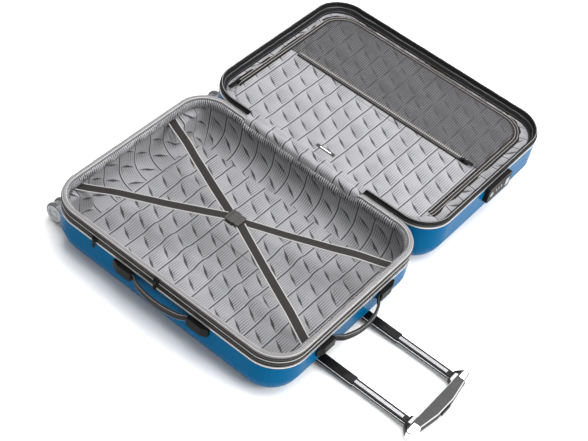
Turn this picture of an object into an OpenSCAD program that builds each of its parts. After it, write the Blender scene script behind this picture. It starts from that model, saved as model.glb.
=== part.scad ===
// Hard shell suitcase, laid open: two moulded halves, zips, straps, trolley and casters.
// Frame: millimetres, X towards the trolley end, Y from the base half to the lid half,
// Z up, origin at the middle of the base half's back face.

/* [Case body] */
// Length of each half along X
case_l = 620; // [480:5:760]
// Width of each half along Y
case_w = 478; // [360:1:560]
// Depth of one half, back face to rim
half_d = 140; // [110:1:180]
// Corner radius seen from above
corner_r = 75; // [50:1:110]
// Height where the moulded shell ends and the zip band starts
shell_top = 104; // [90:1:130]
// Height where the lid's moulded shell ends
lid_shell_top = 123; // [100:1:124]
// Moulded wall thickness
wall = 3; // [2:0.5:5]
// How far the rounded back edge draws in
back_inset = 50; // [20:1:60]
// Height over which the back edge is rounded
back_rise = 70; // [40:1:90]
// Depth of the step below the upper band
step_in = 1.5; // [0.5:0.5:3]
// Gap between the halves when open
gap = 11; // [6:1:20]

/* [Casters] */
// Swivel axis distance from the middle of the case
caster_y = 180; // [120:1:200]
// Swivel axis height above the back face
caster_z = 48; // [46:1:60]
// Wheel radius
wheel_r = 24; // [18:1:25]
// Distance from the swivel axis to the axle
trail = 18; // [10:1:20]
// Axle distance from the pocket floor
axle_out = 36; // [32:1:40]
// Axle radius
axle_r = 3; // [2:0.5:4]

/* [Trolley] */
// Leg distance from the middle
leg_y = 76; // [50:1:90]
// Leg centre height
leg_z = 17; // [15:1:22]
// Outer width of the middle stage
mid_w = 21; // [16:1:26]
// Outer thickness of the middle stage
mid_t = 13; // [10:1:15]
// Tube wall
tube_wall = 1.2; // [1:0.1:2]
// End of the middle stage at rest
mid_end = 384; // [300:1:460]
// Inner edge of the grip at rest
grip_x = 524; // [400:1:620]
// Half of the grip's width
grip_half = 105; // [95:1:115]

/* [Carry handles] */
// Half of the free length of the side handle
side_half = 74; // [50:1:90]
// Outward bow of the side handle
side_sag = 15; // [8:1:25]
// Middle of the side handle along X
side_x = 9.5; // [-60:0.5:60]
// Half of the free length of the end handle
end_half = 76; // [50:1:90]
// Outward bow of the end handle
end_sag = 25; // [8:1:32]

/* [Straps and zips] */
// Webbing width
strap_w = 22; // [15:1:30]
// Webbing thickness
strap_t = 2; // [1:0.5:3]
// Height of the straps
strap_z = 120; // [100:1:126]
// Height of the main zip coil
main_zip_z = 128; // [122:1:130]
// Height of the second zip coil
wide_zip_z = 113; // [109:1:116]

/* [Lock] */
// Lock middle, measured from the middle of the lid
lock_y = 21; // [-60:1:60]
// Lock length
lock_l = 92; // [80:1:110]
// Dial radius
dial_r = 6; // [5:0.5:7]

/* [Hidden] */
$fn = 64;
cut = 1;
half_l = case_l / 2;
half_w = case_w / 2;
corner_x = half_l - corner_r;
corner_y = half_w - corner_r;
lid_y = case_w + gap;
back_r = corner_r - back_inset;
floor_t = 4;
side_gap = 0.3;
blue = [0.02, 0.35, 0.60];
black = [0.05, 0.05, 0.06];
grey = [0.62, 0.62, 0.64];
silver = [0.75, 0.75, 0.77];
webbing = [0.20, 0.19, 0.18];

// Casters
pocket_x = -half_l + 20;
pocket_r = 46;
pocket_wall = 3;
axle_x = pocket_x - axle_out;
wheel_w = 10;
wheel_gap = 6;
plate_t = 3;
boss_out = 5;
stem_r = 4;
fit = 0.06;

// Trolley
recess_x = half_l - 26;
recess_y = 118;
recess_z = 34;
sheath_w = mid_w + 0.6 + 2 * tube_wall;
sheath_t = mid_t + 0.6 + 2 * tube_wall;
sheath_l = 554;
collar_l = 8;
mid_l = 396;
inner_w = mid_w - 2 * tube_wall - 0.6;
inner_t = mid_t - 2 * tube_wall - 0.6;
inner_front = grip_x - 10;
inner_l = 346;
strip_w = 8;
strip_t = 0.7;
end_disc_r = 9;
end_disc_x = grip_x + end_disc_r;
end_disc_y = grip_half - end_disc_r;
mid_disc_r = 14;
mid_disc_x = grip_x + 15;
grip_t = 22;
button_x = mid_disc_x + mid_disc_r;

// Linings
lining_gap = 5;
lining_t = 3;
base_floor = 28;
lid_floor = 8;
lining_top = 132.8;
band_top = 133;
hump = 4;

// Divider in the lid
panel_l = 544;
panel_w = 428;
panel_x = -5;
panel_y = lid_y;
panel_z = 110;
panel_t = 4;
divider_top = panel_z + panel_t + 0.1;
zip_t = 2.4;
mesh_z = divider_top + 4;

// Lock
lock_x = half_l + 1;
lock_t = 11;
lock_z = 82;
lock_h = 44;
dial_z = lock_z + 22;
dial_x = lock_x + lock_t + 1.4 - dial_r;
dial_w = 5;
dial_pitch = 10;

// Carry handles
plate_l = 54;
plate_h = 22;
plate_out = 10.8;
handle_z = 80;
grip_h = 19;
band_in = 1.5;

module rounded_rect(l, w, r) {
  square([l - 2 * r, w], center = true);
  square([l, w - 2 * r], center = true);
  for (sx = [-1, 1])
    for (sy = [-1, 1])
      translate([sx * (l / 2 - r), sy * (w / 2 - r)]) circle(r);
}

// A plate with the outline of the case, drawn in by some amount
module outline_plate(inset, z, h) {
  translate([0, 0, z])
    linear_extrude(h)
      rounded_rect(case_l - 2 * inset, case_w - 2 * inset, corner_r - inset);
}

// A ring that follows the outline of the case between two insets
module outline_ring(outer, inner, z, h) {
  difference() {
    outline_plate(outer, z, h);
    outline_plate(inner, z - cut, h + 2 * cut);
  }
}

function back_curve(r, z0, z1) = [
  for (i = [0 : 9])
    [back_r + (r - back_r) * sin(10 * i), z1 - (z1 - z0) * cos(10 * i)]
];

// A body with rounded corners and a rounded back edge
module half_block(inset, z0, z1, top) {
  r = corner_r - inset;
  profile = concat([[0, z0]], back_curve(r, z0, z1), [[r, top], [0, top]]);
  hull()
    for (sx = [-1, 1])
      for (sy = [-1, 1])
        translate([sx * corner_x, sy * corner_y, 0])
          rotate_extrude($fn = 56) polygon(profile);
}

module caster_cylinders(r, x0, x1) {
  for (sy = [-1, 1])
    translate([x0, sy * caster_y, caster_z])
      rotate([0, 90, 0]) cylinder(r = r, h = x1 - x0);
}

// One moulded half with its caster pockets
module half_shell(top) {
  difference() {
    union() {
      difference() {
        union() {
          half_block(step_in, 0, back_rise, top);
          outline_plate(0, 58, top - 58);
        }
        half_block(wall + 1, floor_t, back_rise, top + cut);
      }
      intersection() {
        half_block(step_in, 0, back_rise, top);
        caster_cylinders(pocket_r + pocket_wall, -half_l, pocket_x + pocket_wall);
      }
    }
    caster_cylinders(pocket_r, -half_l - 10, pocket_x);
    // Shallow grooves along the back
    for (y = [-150, -90, -30, 30, 90, 150])
      translate([-235, y - 5, -cut]) cube([470, 10, cut + 2]);
  }
}

module trolley_box(grow, x0) {
  translate([x0, -recess_y - grow, -cut])
    cube([60, 2 * (recess_y + grow), recess_z + grow + cut]);
}

module leg_slots(w, t, x0, l) {
  for (sy = [-1, 1])
    translate([x0, sy * leg_y, leg_z])
      rotate([90, 0, 90]) linear_extrude(l) square([w, t], center = true);
}

module base_shell() {
  color(blue)
    difference() {
      union() {
        half_shell(shell_top);
        intersection() {
          half_block(step_in, 0, back_rise, shell_top);
          trolley_box(pocket_wall, recess_x - pocket_wall);
        }
      }
      trolley_box(0, recess_x);
      leg_slots(sheath_w + 0.4, sheath_t + 0.4, recess_x - 20, 30);
    }
}

module lid_shell() {
  color(blue) translate([0, lid_y, 0]) half_shell(lid_shell_top);
}

module piping(z) {
  outline_ring(-0.8, band_in, z, 3);
}

module zip_band(z) {
  outline_ring(band_in, 4, z, band_top - z);
}

// A padded roll on the rim, drawn as two steps
module binding(inner) {
  outline_ring(band_in, inner, band_top, 3);
  outline_ring(band_in + 1.5, inner - 1.5, band_top + 3, half_d - band_top - 3);
}

module base_piping() {
  color(silver) piping(shell_top);
}

module base_zip_band() {
  color(black) zip_band(shell_top);
}

module base_zip_coils() {
  color(black) {
    outline_ring(-0.3, band_in, main_zip_z, 4);
    outline_ring(-0.3, band_in, wide_zip_z, 4);
  }
}

module base_binding() {
  color(grey) binding(12);
}

// Fabric tray that lines one half, clear of the caster pockets
module lining_tray(floor_z) {
  top = lining_top;
  difference() {
    union() {
      difference() {
        half_block(lining_gap, floor_z, back_rise, top);
        half_block(lining_gap + lining_t, floor_z + lining_t, back_rise, top + cut);
      }
      intersection() {
        half_block(lining_gap, floor_z, back_rise, top);
        caster_cylinders(
          pocket_r + pocket_wall + hump + lining_t, -half_l, pocket_x + 5 + lining_t
        );
      }
    }
    caster_cylinders(pocket_r + pocket_wall + hump, -half_l - 10, pocket_x + 5);
  }
}

module base_lining() {
  color(grey)
    difference() {
      union() {
        lining_tray(base_floor);
        intersection() {
          half_block(lining_gap, base_floor, back_rise, lining_top);
          trolley_box(8 + lining_t, recess_x - 7 - lining_t);
        }
      }
      trolley_box(8, recess_x - 7);
    }
}

module caster_plates() {
  difference() {
    union() {
      caster_cylinders(pocket_r - 2, pocket_x - plate_t, pocket_x);
      caster_cylinders(12, pocket_x - boss_out, pocket_x);
    }
    caster_cylinders(stem_r + fit, pocket_x - 20, pocket_x - 0.4);
    // Trim to the rounded corner so nothing stands out of the moulding
    difference() {
      translate([-half_l - 40, -half_w - 40, -40]) cube([60, case_w + 80, 240]);
      half_block(step_in + 1.5, 0, back_rise, shell_top);
    }
  }
}

module base_caster_plates() {
  color(black) caster_plates();
}

module lid_caster_plates() {
  color(black) translate([0, lid_y, 0]) caster_plates();
}

module tube_pair(w, t, bore_w, bore_t, x0, l) {
  for (sy = [-1, 1])
    translate([x0, sy * leg_y, leg_z])
      rotate([90, 0, 90])
        linear_extrude(l)
          difference() {
            rounded_rect(w, t, 2);
            rounded_rect(bore_w, bore_t, 1.2);
          }
}

module trolley_sheaths() {
  color(silver)
    tube_pair(sheath_w, sheath_t, mid_w + 0.6, mid_t + 0.6, recess_x - sheath_l, sheath_l);
}

module trolley_bezel() {
  color(black)
    difference() {
      translate([recess_x, 0, leg_z + 0.5])
        rotate([90, 0, 90]) linear_extrude(3) rounded_rect(220, 26, 6);
      leg_slots(mid_w + 0.7, mid_t + 0.7, recess_x - cut, 8);
    }
}

module middle_tubes() {
  bore_w = mid_w - 2 * tube_wall;
  bore_t = mid_t - 2 * tube_wall;
  color(black)
    tube_pair(mid_w, mid_t, bore_w, bore_t, mid_end - collar_l - mid_l, mid_l);
}

module middle_collars() {
  bore_w = mid_w - 2 * tube_wall;
  bore_t = mid_t - 2 * tube_wall;
  color(black) tube_pair(mid_w, mid_t, bore_w, bore_t, mid_end - collar_l, collar_l);
}

module strip_cut(t, x0, l) {
  for (sy = [-1, 1])
    translate([x0, sy * leg_y - strip_w / 2, leg_z + inner_t / 2 - t])
      cube([l, strip_w, t]);
}

module inner_tubes() {
  bore = 3.2;
  color(black)
    difference() {
      tube_pair(
        inner_w, inner_t, inner_w - bore, inner_t - bore, inner_front - inner_l, inner_l
      );
      translate([0, 0, cut]) strip_cut(strip_t + cut, 200, inner_front - 210);
    }
}

module inner_strips() {
  color(silver) strip_cut(strip_t, 200.5, inner_front - 211);
}

// A disc with rounded edges, used for the soft grip
module soft_disc(x, y, r, t) {
  e = 5;
  translate([x, y, leg_z])
    rotate_extrude($fn = 40)
      polygon(concat(
        [[0, -t / 2]],
        [for (i = [0 : 4]) [r - e + e * sin(22.5 * i), -t / 2 + e - e * cos(22.5 * i)]],
        [for (i = [0 : 4]) [r - e + e * cos(22.5 * i), t / 2 - e + e * sin(22.5 * i)]],
        [[0, t / 2]]
      ));
}

module grip_bar(grow) {
  hull() {
    for (sy = [-1, 1]) {
      soft_disc(end_disc_x, sy * end_disc_y, end_disc_r + grow, grip_t + 2 * grow);
      soft_disc(mid_disc_x, sy * 25, mid_disc_r + grow, grip_t + 2 * grow);
    }
  }
}

module shoulders() {
  for (sy = [-1, 1])
    hull() {
      translate([inner_front, sy * leg_y - 11, leg_z - 7]) cube([4, 22, 14]);
      soft_disc(end_disc_x, sy * end_disc_y, end_disc_r, grip_t);
      soft_disc(end_disc_x, sy * (end_disc_y - 34), end_disc_r, grip_t);
    }
}

module grip_body() {
  color([0.16, 0.16, 0.17])
    difference() {
      union() {
        grip_bar(0);
        shoulders();
      }
      translate([button_x - 10, -15.4, leg_z - 6.4]) cube([20, 30.8, 12.8]);
    }
}

module grip_caps() {
  color(silver)
    difference() {
      grip_bar(1.2);
      grip_bar(0);
      shoulders();
      translate([grip_x - 20, -120, 0]) cube([26, 240, 40]);
      translate([grip_x - 20, -78, 0]) cube([60, 156, 40]);
    }
}

module grip_button() {
  color(black)
    translate([button_x - 6.5, 0, leg_z])
      rotate([90, 0, 90]) linear_extrude(9) rounded_rect(30, 12, 3);
}

// Casters: each fork hangs down, as when the case lies on its back
module fork(y) {
  color(silver)
    translate([0, y, caster_z])
      difference() {
        union() {
          translate([pocket_x - boss_out - 5, 0, 0])
            rotate([0, 90, 0]) cylinder(r = 13, h = 4.7);
          translate([pocket_x - boss_out - 2, 0, 0])
            rotate([0, 90, 0]) cylinder(r = stem_r, h = 6);
          hull() {
            translate([pocket_x - boss_out - 4, -5, -12]) cube([3, 10, 24]);
            translate([axle_x, 5, -trail]) rotate([90, 0, 0]) cylinder(r = 8, h = 10);
          }
          // Hood over the back of the wheels
          intersection() {
            translate([axle_x, 17, -trail])
              rotate([90, 0, 0])
                linear_extrude(34)
                  difference() {
                    circle(wheel_r + 3.5);
                    circle(wheel_r + 1.5);
                  }
            translate([axle_x + 6, -20, -20]) cube([40, 40, 45]);
          }
        }
        translate([axle_x, 10, -trail]) rotate([90, 0, 0]) cylinder(r = axle_r + fit, h = 20);
      }
}

module wheels(y) {
  color(grey)
    translate([axle_x, y, caster_z - trail])
      rotate([90, 0, 0]) {
        cylinder(r = axle_r, h = 2 * wheel_gap + 2, center = true);
        for (s = [0, 1])
          mirror([0, 0, s])
            rotate_extrude()
              polygon([
                [0, wheel_gap], [wheel_r - 3, wheel_gap], [wheel_r - 1, wheel_gap + 1],
                [wheel_r, wheel_gap + 3], [wheel_r, wheel_gap + wheel_w - 3],
                [wheel_r - 1, wheel_gap + wheel_w - 1], [wheel_r - 3, wheel_gap + wheel_w],
                [15, wheel_gap + wheel_w], [14, wheel_gap + wheel_w - 2.5],
                [6, wheel_gap + wheel_w - 2.5], [5, wheel_gap + wheel_w - 1],
                [0, wheel_gap + wheel_w - 1]
              ]);
      }
}

module fork_1() {
  fork(-caster_y);
}

module fork_2() {
  fork(caster_y);
}

module fork_3() {
  fork(lid_y - caster_y);
}

module fork_4() {
  fork(lid_y + caster_y);
}

module wheels_1() {
  wheels(-caster_y);
}

module wheels_2() {
  wheels(caster_y);
}

module wheels_3() {
  wheels(lid_y - caster_y);
}

module wheels_4() {
  wheels(lid_y + caster_y);
}

// A carry handle drawn with its middle at the origin, bowing towards +Y
module carry_grip(half, sag) {
  reach = 8;
  r = (half * half + sag * sag) / (2 * sag);
  linear_extrude(grip_h) {
    intersection() {
      translate([0, reach + sag - r])
        difference() {
          circle(r, $fn = 180);
          circle(r - 5, $fn = 180);
        }
      translate([-half + 2.5, 0]) square([2 * half - 5, reach + sag + 1]);
    }
    for (s = [-1, 1])
      translate([s * (half + 13) - 19, 2.6]) square([38, 3]);
  }
}

// Brackets: an end of the grip slides inside each, and the far end slopes to the shell
module carry_plates(half) {
  far = half - 2 + plate_l;
  for (s = [-1, 1])
    difference() {
      intersection() {
        translate([s * (far - plate_l / 2), 0, plate_h / 2])
          rotate([-90, 0, 0]) linear_extrude(plate_out) rounded_rect(plate_l, plate_h, 5);
        linear_extrude(plate_h)
          polygon([
            [s * (half - 3), 0], [s * (half - 3), plate_out - 3], [s * (half + 1), plate_out],
            [s * (half + 35), plate_out], [s * (far + 1), 4], [s * (far + 1), 0]
          ]);
      }
      translate([s * (half + 14) - 20, 1.6, 1]) cube([40, 7.8, plate_h - 2]);
    }
}

module at_side() {
  translate([side_x, -half_w, handle_z]) rotate([0, 0, 180]) children();
}

module at_end() {
  translate([half_l, 0, handle_z]) rotate([0, 0, -90]) children();
}

module side_handle_plates() {
  color(black) at_side() carry_plates(side_half);
}

module side_handle_grip() {
  color(webbing) at_side() translate([0, 0, 1.5]) carry_grip(side_half, side_sag);
}

module end_handle_plates() {
  color(black) at_end() carry_plates(end_half);
}

module end_handle_grip() {
  color(webbing) at_end() translate([0, 0, 1.5]) carry_grip(end_half, end_sag);
}

// A flat strap between two points
module webbing_run(x0, y0, x1, y1) {
  translate([x0, y0, strap_z])
    rotate([0, 0, atan2(y1 - y0, x1 - x0)])
      translate([0, -strap_w / 2, 0]) cube([norm([x1 - x0, y1 - y0]), strap_w, strap_t]);
}

module straps_left() {
  color(webbing)
    difference() {
      union() {
        webbing_run(-294, -160, -20, -5);
        webbing_run(-294, 126, -20, 5);
      }
      translate([-26, -40, strap_z - 5]) cube([60, 80, 12]);
    }
}

module straps_right() {
  color(webbing)
    difference() {
      union() {
        webbing_run(294, 145, 3, 5);
        webbing_run(294, -139, 3, -5);
      }
      translate([-40, -40, strap_z - 5]) cube([50.3, 80, 12]);
    }
}

module strap_anchors() {
  color(webbing)
    for (p = [[-301.1, -154], [-301.1, 130], [301.1, 148], [301.1, -142]])
      translate([p[0] - 0.6, p[1] - 13, strap_z - 10]) cube([1.2, 26, 14]);
}

module buckle_female() {
  color(black)
    difference() {
      translate([-26, 0, strap_z - 4])
        translate([12, 0, 0]) linear_extrude(10) rounded_rect(24, 32, 4);
      translate([-15, -10, strap_z - 1.5]) cube([20, 20, 5]);
      for (x = [-21, -18.5])
        translate([x, -11, strap_z + 5.2]) cube([1.2, 22, 2]);
    }
}

module buckle_male() {
  color(black) {
    translate([4.3, 0, strap_z - 4]) linear_extrude(10) rounded_rect(12, 30, 3);
    translate([-14, -9.6, strap_z - 1]) cube([14, 19.2, 4]);
  }
}

module hinge_fabric() {
  color(grey) translate([-184, half_w - 1.4, half_d - 5.5]) cube([324, gap + 2.8, 2]);
}

// Lid half
module lid_piping() {
  color(silver) translate([0, lid_y, 0]) piping(lid_shell_top);
}

module lid_zip_band() {
  color(black) translate([0, lid_y, 0]) zip_band(lid_shell_top);
}

module lid_zip_coil() {
  color(black) translate([0, lid_y, 0]) outline_ring(-0.3, band_in, main_zip_z, 4);
}

module lid_binding() {
  color(black) translate([0, lid_y, 0]) binding(7.5);
}

// A black cloth skirt from the lid's rim down to the divider
module lid_skirt() {
  color(black)
    translate([0, lid_y, 0])
      outline_ring(11, 13, divider_top + 0.2, lining_top - divider_top - 0.4);
}

module panel_outline(grow, z, h) {
  translate([panel_x, panel_y, z])
    linear_extrude(h) rounded_rect(panel_l + 2 * grow, panel_w + 2 * grow, 60 + grow);
}

module lid_lining() {
  color(grey) {
    translate([0, lid_y, 0]) lining_tray(lid_floor);
    difference() {
      translate([0, lid_y, 0]) outline_plate(lining_gap + 1, panel_z, panel_t);
      panel_outline(0.5, panel_z - cut, panel_t + 2 * cut);
    }
  }
}

module divider_panel() {
  color(grey) panel_outline(0, panel_z, panel_t);
}

module divider_zip() {
  color(black)
    difference() {
      panel_outline(4.5, divider_top, zip_t);
      panel_outline(-3.5, divider_top - cut, zip_t + 2 * cut);
      translate([-400, lid_y - 300, divider_top - cut]) cube([800, 130, zip_t + 2 * cut]);
    }
}

// The part of the panel's outline beyond y0
module pocket_block(inset, y0, z, h) {
  intersection() {
    panel_outline(-inset, z, h);
    translate([-300, y0, z - cut]) cube([600, 250, h + 2 * cut]);
  }
}

module mesh_pocket() {
  y0 = lid_y + 21;
  color([0.25, 0.25, 0.27])
    difference() {
      pocket_block(8, y0, divider_top, 5.4);
      pocket_block(11, y0 + 3, divider_top - cut, 4 + cut);
    }
}

module mesh_zip() {
  color(black) translate([panel_x - 242, lid_y + 11.5, divider_top]) cube([484, 8, zip_t]);
}

module panel_tag() {
  color(black) translate([panel_x - 27, lid_y - 189, divider_top]) cube([48, 8, 0.6]);
}

module on_lock() {
  translate([lock_x, lid_y + lock_y, lock_z]) children();
}

module lock_housing() {
  color(black)
    on_lock()
      difference() {
        union() {
          translate([0, 0, lock_h / 2])
            rotate([90, 0, 90]) linear_extrude(lock_t) rounded_rect(lock_l, lock_h, 7);
          translate([-1, -30, 4]) cube([2, 60, 14]);
        }
        for (i = [-1, 0, 1])
          translate([-cut, dial_pitch * i - 4 - dial_w / 2 - 0.4, dial_z - lock_z - 9])
            cube([20, dial_w + 0.8, 18]);
        translate([2, 21.7, 11.7]) cube([20, 14.6, 20.6]);
        translate([2, -32, 22]) rotate([0, 90, 0]) cylinder(r = 6.3, h = 20);
      }
}

// A dial with finger notches, turning on an axis along Y
module dial(i) {
  color(silver)
    translate([dial_x, lid_y + lock_y + dial_pitch * i - 4, dial_z])
      rotate([90, 0, 0])
        difference() {
          cylinder(r = dial_r, h = dial_w, center = true);
          for (a = [0 : 36 : 324])
            rotate([0, 0, a])
              translate([dial_r, 0, 0]) cylinder(r = 0.6, h = dial_w + 2, center = true, $fn = 16);
        }
}

module dial_1() {
  dial(-1);
}

module dial_2() {
  dial(0);
}

module dial_3() {
  dial(1);
}

module lock_button() {
  color(silver) on_lock() translate([5, 22, 12]) cube([7.5, 14, 20]);
}

module key_cylinder() {
  color(silver)
    on_lock()
      translate([2.5, -32, 22])
        rotate([0, 90, 0])
          difference() {
            cylinder(r = 6, h = 9);
            translate([-4, -0.8, 5]) cube([8, 1.6, 6]);
          }
}

// Zip sliders. The main pull hangs from its slider.
main_x = -5;
main_y = -half_w - 0.6;
wide_x = -170;
divider_x = panel_x - panel_l / 2 - 0.5;
divider_y = lid_y - 164;
slider_z = divider_top + zip_t + 0.3;
mesh_x = 221;
mesh_y = lid_y + 15.5;

module main_slider() {
  color(black) {
    translate([main_x - 6, main_y - 3.4, main_zip_z - 3]) cube([12, 3.4, 9]);
    translate([main_x - 5, main_y - 6.4, main_zip_z + 0.5]) cube([2, 4, 4]);
    translate([main_x + 3, main_y - 6.4, main_zip_z + 0.5]) cube([2, 4, 4]);
  }
}

module main_pull() {
  color(black)
    translate([main_x, main_y - 5, main_zip_z + 2.5]) {
      translate([-2.6, -1, -24]) cube([5.2, 2, 25]);
      translate([-4.2, -1, -24]) cube([8.4, 2, 10]);
    }
}

module wide_slider() {
  color(black) {
    translate([wide_x - 6, main_y - 3.4, wide_zip_z - 3]) cube([12, 3.4, 9]);
    translate([wide_x - 3, main_y - 5.4, wide_zip_z - 20]) cube([6, 2, 24]);
  }
}

module divider_slider() {
  color(black)
    translate([divider_x, divider_y, slider_z]) {
      translate([-4.5, -6, 0]) cube([9, 12, 3]);
      for (s = [-1, 1])
        translate([s * 4 - 0.5, -4, 0]) cube([1, 4, 6]);
    }
}

module divider_pull() {
  color(black)
    translate([divider_x, divider_y - 2, slider_z + 4.4]) {
      translate([-2.8, -30, -0.9]) cube([5.6, 31, 1.8]);
      translate([-4.4, -30, -0.9]) cube([8.8, 20, 1.8]);
    }
}

module mesh_slider() {
  color(black)
    translate([mesh_x, mesh_y, slider_z]) {
      translate([-6, -4.5, 0]) cube([12, 9, 3]);
      for (s = [-1, 1])
        translate([0, s * 4 - 0.5, 0]) cube([4, 1, 6]);
    }
}

module mesh_pull() {
  color(black)
    translate([mesh_x + 2, mesh_y, slider_z + 4.4]) {
      translate([-1, -2.8, -0.9]) cube([27, 5.6, 1.8]);
      translate([10, -4.4, -0.9]) cube([16, 8.8, 1.8]);
    }
}

// Node choice
base_shell();
base_piping();
base_zip_band();
base_zip_coils();
base_binding();
base_lining();
base_caster_plates();
trolley_sheaths();
trolley_bezel();
straps_left();
straps_right();
strap_anchors();
buckle_female();
buckle_male();
side_handle_plates();
side_handle_grip();
end_handle_plates();
end_handle_grip();
hinge_fabric();
lid_shell();
lid_piping();
lid_zip_band();
lid_zip_coil();
lid_binding();
lid_skirt();
lid_lining();
divider_panel();
divider_zip();
mesh_pocket();
mesh_zip();
panel_tag();
lid_caster_plates();
lock_housing();
dial_1();
dial_2();
dial_3();
lock_button();
key_cylinder();
middle_tubes();
middle_collars();
inner_tubes();
inner_strips();
grip_body();
grip_caps();
grip_button();
fork_1();
fork_2();
fork_3();
fork_4();
wheels_1();
wheels_2();
wheels_3();
wheels_4();
main_slider();
main_pull();
wide_slider();
divider_slider();
divider_pull();
mesh_slider();
mesh_pull();
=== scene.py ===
# %% [markdown]
# # A hard shell suitcase, laid open
# The solid parts (shells, tubes, casters, lock) come ready-made from the CAD model and stay where
# they are. This lesson adds what CAD can't hold: lining cloth, webbing, zip teeth, stitches, mesh,
# soft grips, and a finish for every surface. Everything is in metres, in the CAD model's frame:
# X runs towards the trolley handle, Y from the base half to the lid half, and Z up.

# %% Load the frame
import math

import bmesh
import bpy
import numpy as np
from mathutils import Matrix, Vector, noise


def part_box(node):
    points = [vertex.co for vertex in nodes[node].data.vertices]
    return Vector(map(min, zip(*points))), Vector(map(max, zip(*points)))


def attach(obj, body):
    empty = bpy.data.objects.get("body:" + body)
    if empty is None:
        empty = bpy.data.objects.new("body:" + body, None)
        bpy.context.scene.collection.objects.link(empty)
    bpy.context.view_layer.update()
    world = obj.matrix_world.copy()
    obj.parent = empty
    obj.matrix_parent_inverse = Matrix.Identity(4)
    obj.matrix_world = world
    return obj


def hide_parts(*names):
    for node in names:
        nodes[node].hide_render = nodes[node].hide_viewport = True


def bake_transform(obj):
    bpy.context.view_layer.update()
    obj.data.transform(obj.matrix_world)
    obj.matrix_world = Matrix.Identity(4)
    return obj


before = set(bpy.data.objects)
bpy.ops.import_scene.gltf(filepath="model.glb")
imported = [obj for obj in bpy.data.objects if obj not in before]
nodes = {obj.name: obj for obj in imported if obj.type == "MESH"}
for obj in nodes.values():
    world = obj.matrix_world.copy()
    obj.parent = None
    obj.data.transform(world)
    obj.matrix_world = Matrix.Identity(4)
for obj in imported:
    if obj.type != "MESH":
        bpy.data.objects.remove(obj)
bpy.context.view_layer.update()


def add_object(name, data):
    made = bpy.data.objects.new(name, data)
    bpy.context.scene.collection.objects.link(made)
    return made


# %% [markdown]
# ## Camera
# The camera comes first, because every choice of detail depends on what it sees. A long lens from
# above and in front keeps the far edge of the lid nearly as wide as the near edge. The camera is
# also rolled a little, so that the long sides run steeply across the frame.

# %% Camera
MM = 0.001
CAMERA_AT = Vector((1.0649, -1.6331, 2.2282))
AZIMUTH, ELEVATION, ROLL = (math.radians(a) for a in (29.86, 46.75, 12.43))
back = Vector((
    math.sin(AZIMUTH) * math.cos(ELEVATION),
    -math.cos(AZIMUTH) * math.cos(ELEVATION),
    math.sin(ELEVATION),
))
level_right = Vector((math.cos(AZIMUTH), math.sin(AZIMUTH), 0))
level_up = back.cross(level_right)
right = level_right * math.cos(ROLL) + level_up * math.sin(ROLL)
up = level_up * math.cos(ROLL) - level_right * math.sin(ROLL)
camera = add_object("camera", bpy.data.cameras.new("camera"))
camera.data.lens = 86.18
camera.data.sensor_width = 36
turn = Matrix((right, up, back)).transposed()
camera.matrix_world = Matrix.Translation(CAMERA_AT) @ turn.to_4x4()
bpy.context.scene.camera = camera
print("camera looks along", [round(x, 3) for x in -back])

# %% [markdown]
# ## Measures
# Many places in the script come from the boxes of the CAD nodes, so that the cloth follows them if the
# case is made longer or deeper; others, such as the rim's corner, are fixed numbers. The rim of each
# half is a rectangle with round corners.

# %% Measures from the CAD nodes
def middle_of(node):
    low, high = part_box(node)
    return (low + high) / 2


HALF_L, HALF_W, SHELL_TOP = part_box("base_shell")[1]
CORNER = 0.075
LID_Y, LID_TOP = middle_of("lid_shell").y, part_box("lid_shell")[1].z
COIL_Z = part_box("lid_zip_coil")[0].z + 2 * MM
WIDE_COIL_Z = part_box("base_zip_coils")[0].z + 2 * MM
HINGE_Y = LID_Y / 2
FABRIC_LOW, FABRIC_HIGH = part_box("hinge_fabric")
PANEL_LOW, PANEL_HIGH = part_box("divider_panel")
PANEL_HX, PANEL_HY = (PANEL_HIGH.x - PANEL_LOW.x) / 2, (PANEL_HIGH.y - PANEL_LOW.y) / 2
PANEL_X, PANEL_Y = (PANEL_HIGH.x + PANEL_LOW.x) / 2, (PANEL_HIGH.y + PANEL_LOW.y) / 2
PANEL_TOP, PANEL_CORNER = PANEL_HIGH.z, 0.060
STRAP_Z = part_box("straps_left")[1].z
print("half size", round(HALF_L, 4), round(HALF_W, 4), "lid middle at y", round(LID_Y, 4))

# %% [markdown]
# ## Shader maths as plain expressions
# A material's pattern is arithmetic on coordinates. Wrapping a socket in a small class lets the
# script say `mask * 0.5 + 0.2` and have the Math nodes added for it. Colours and vectors use Mix and
# Vector Math nodes through `node()`, since a Math node would turn a colour grey.

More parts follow.
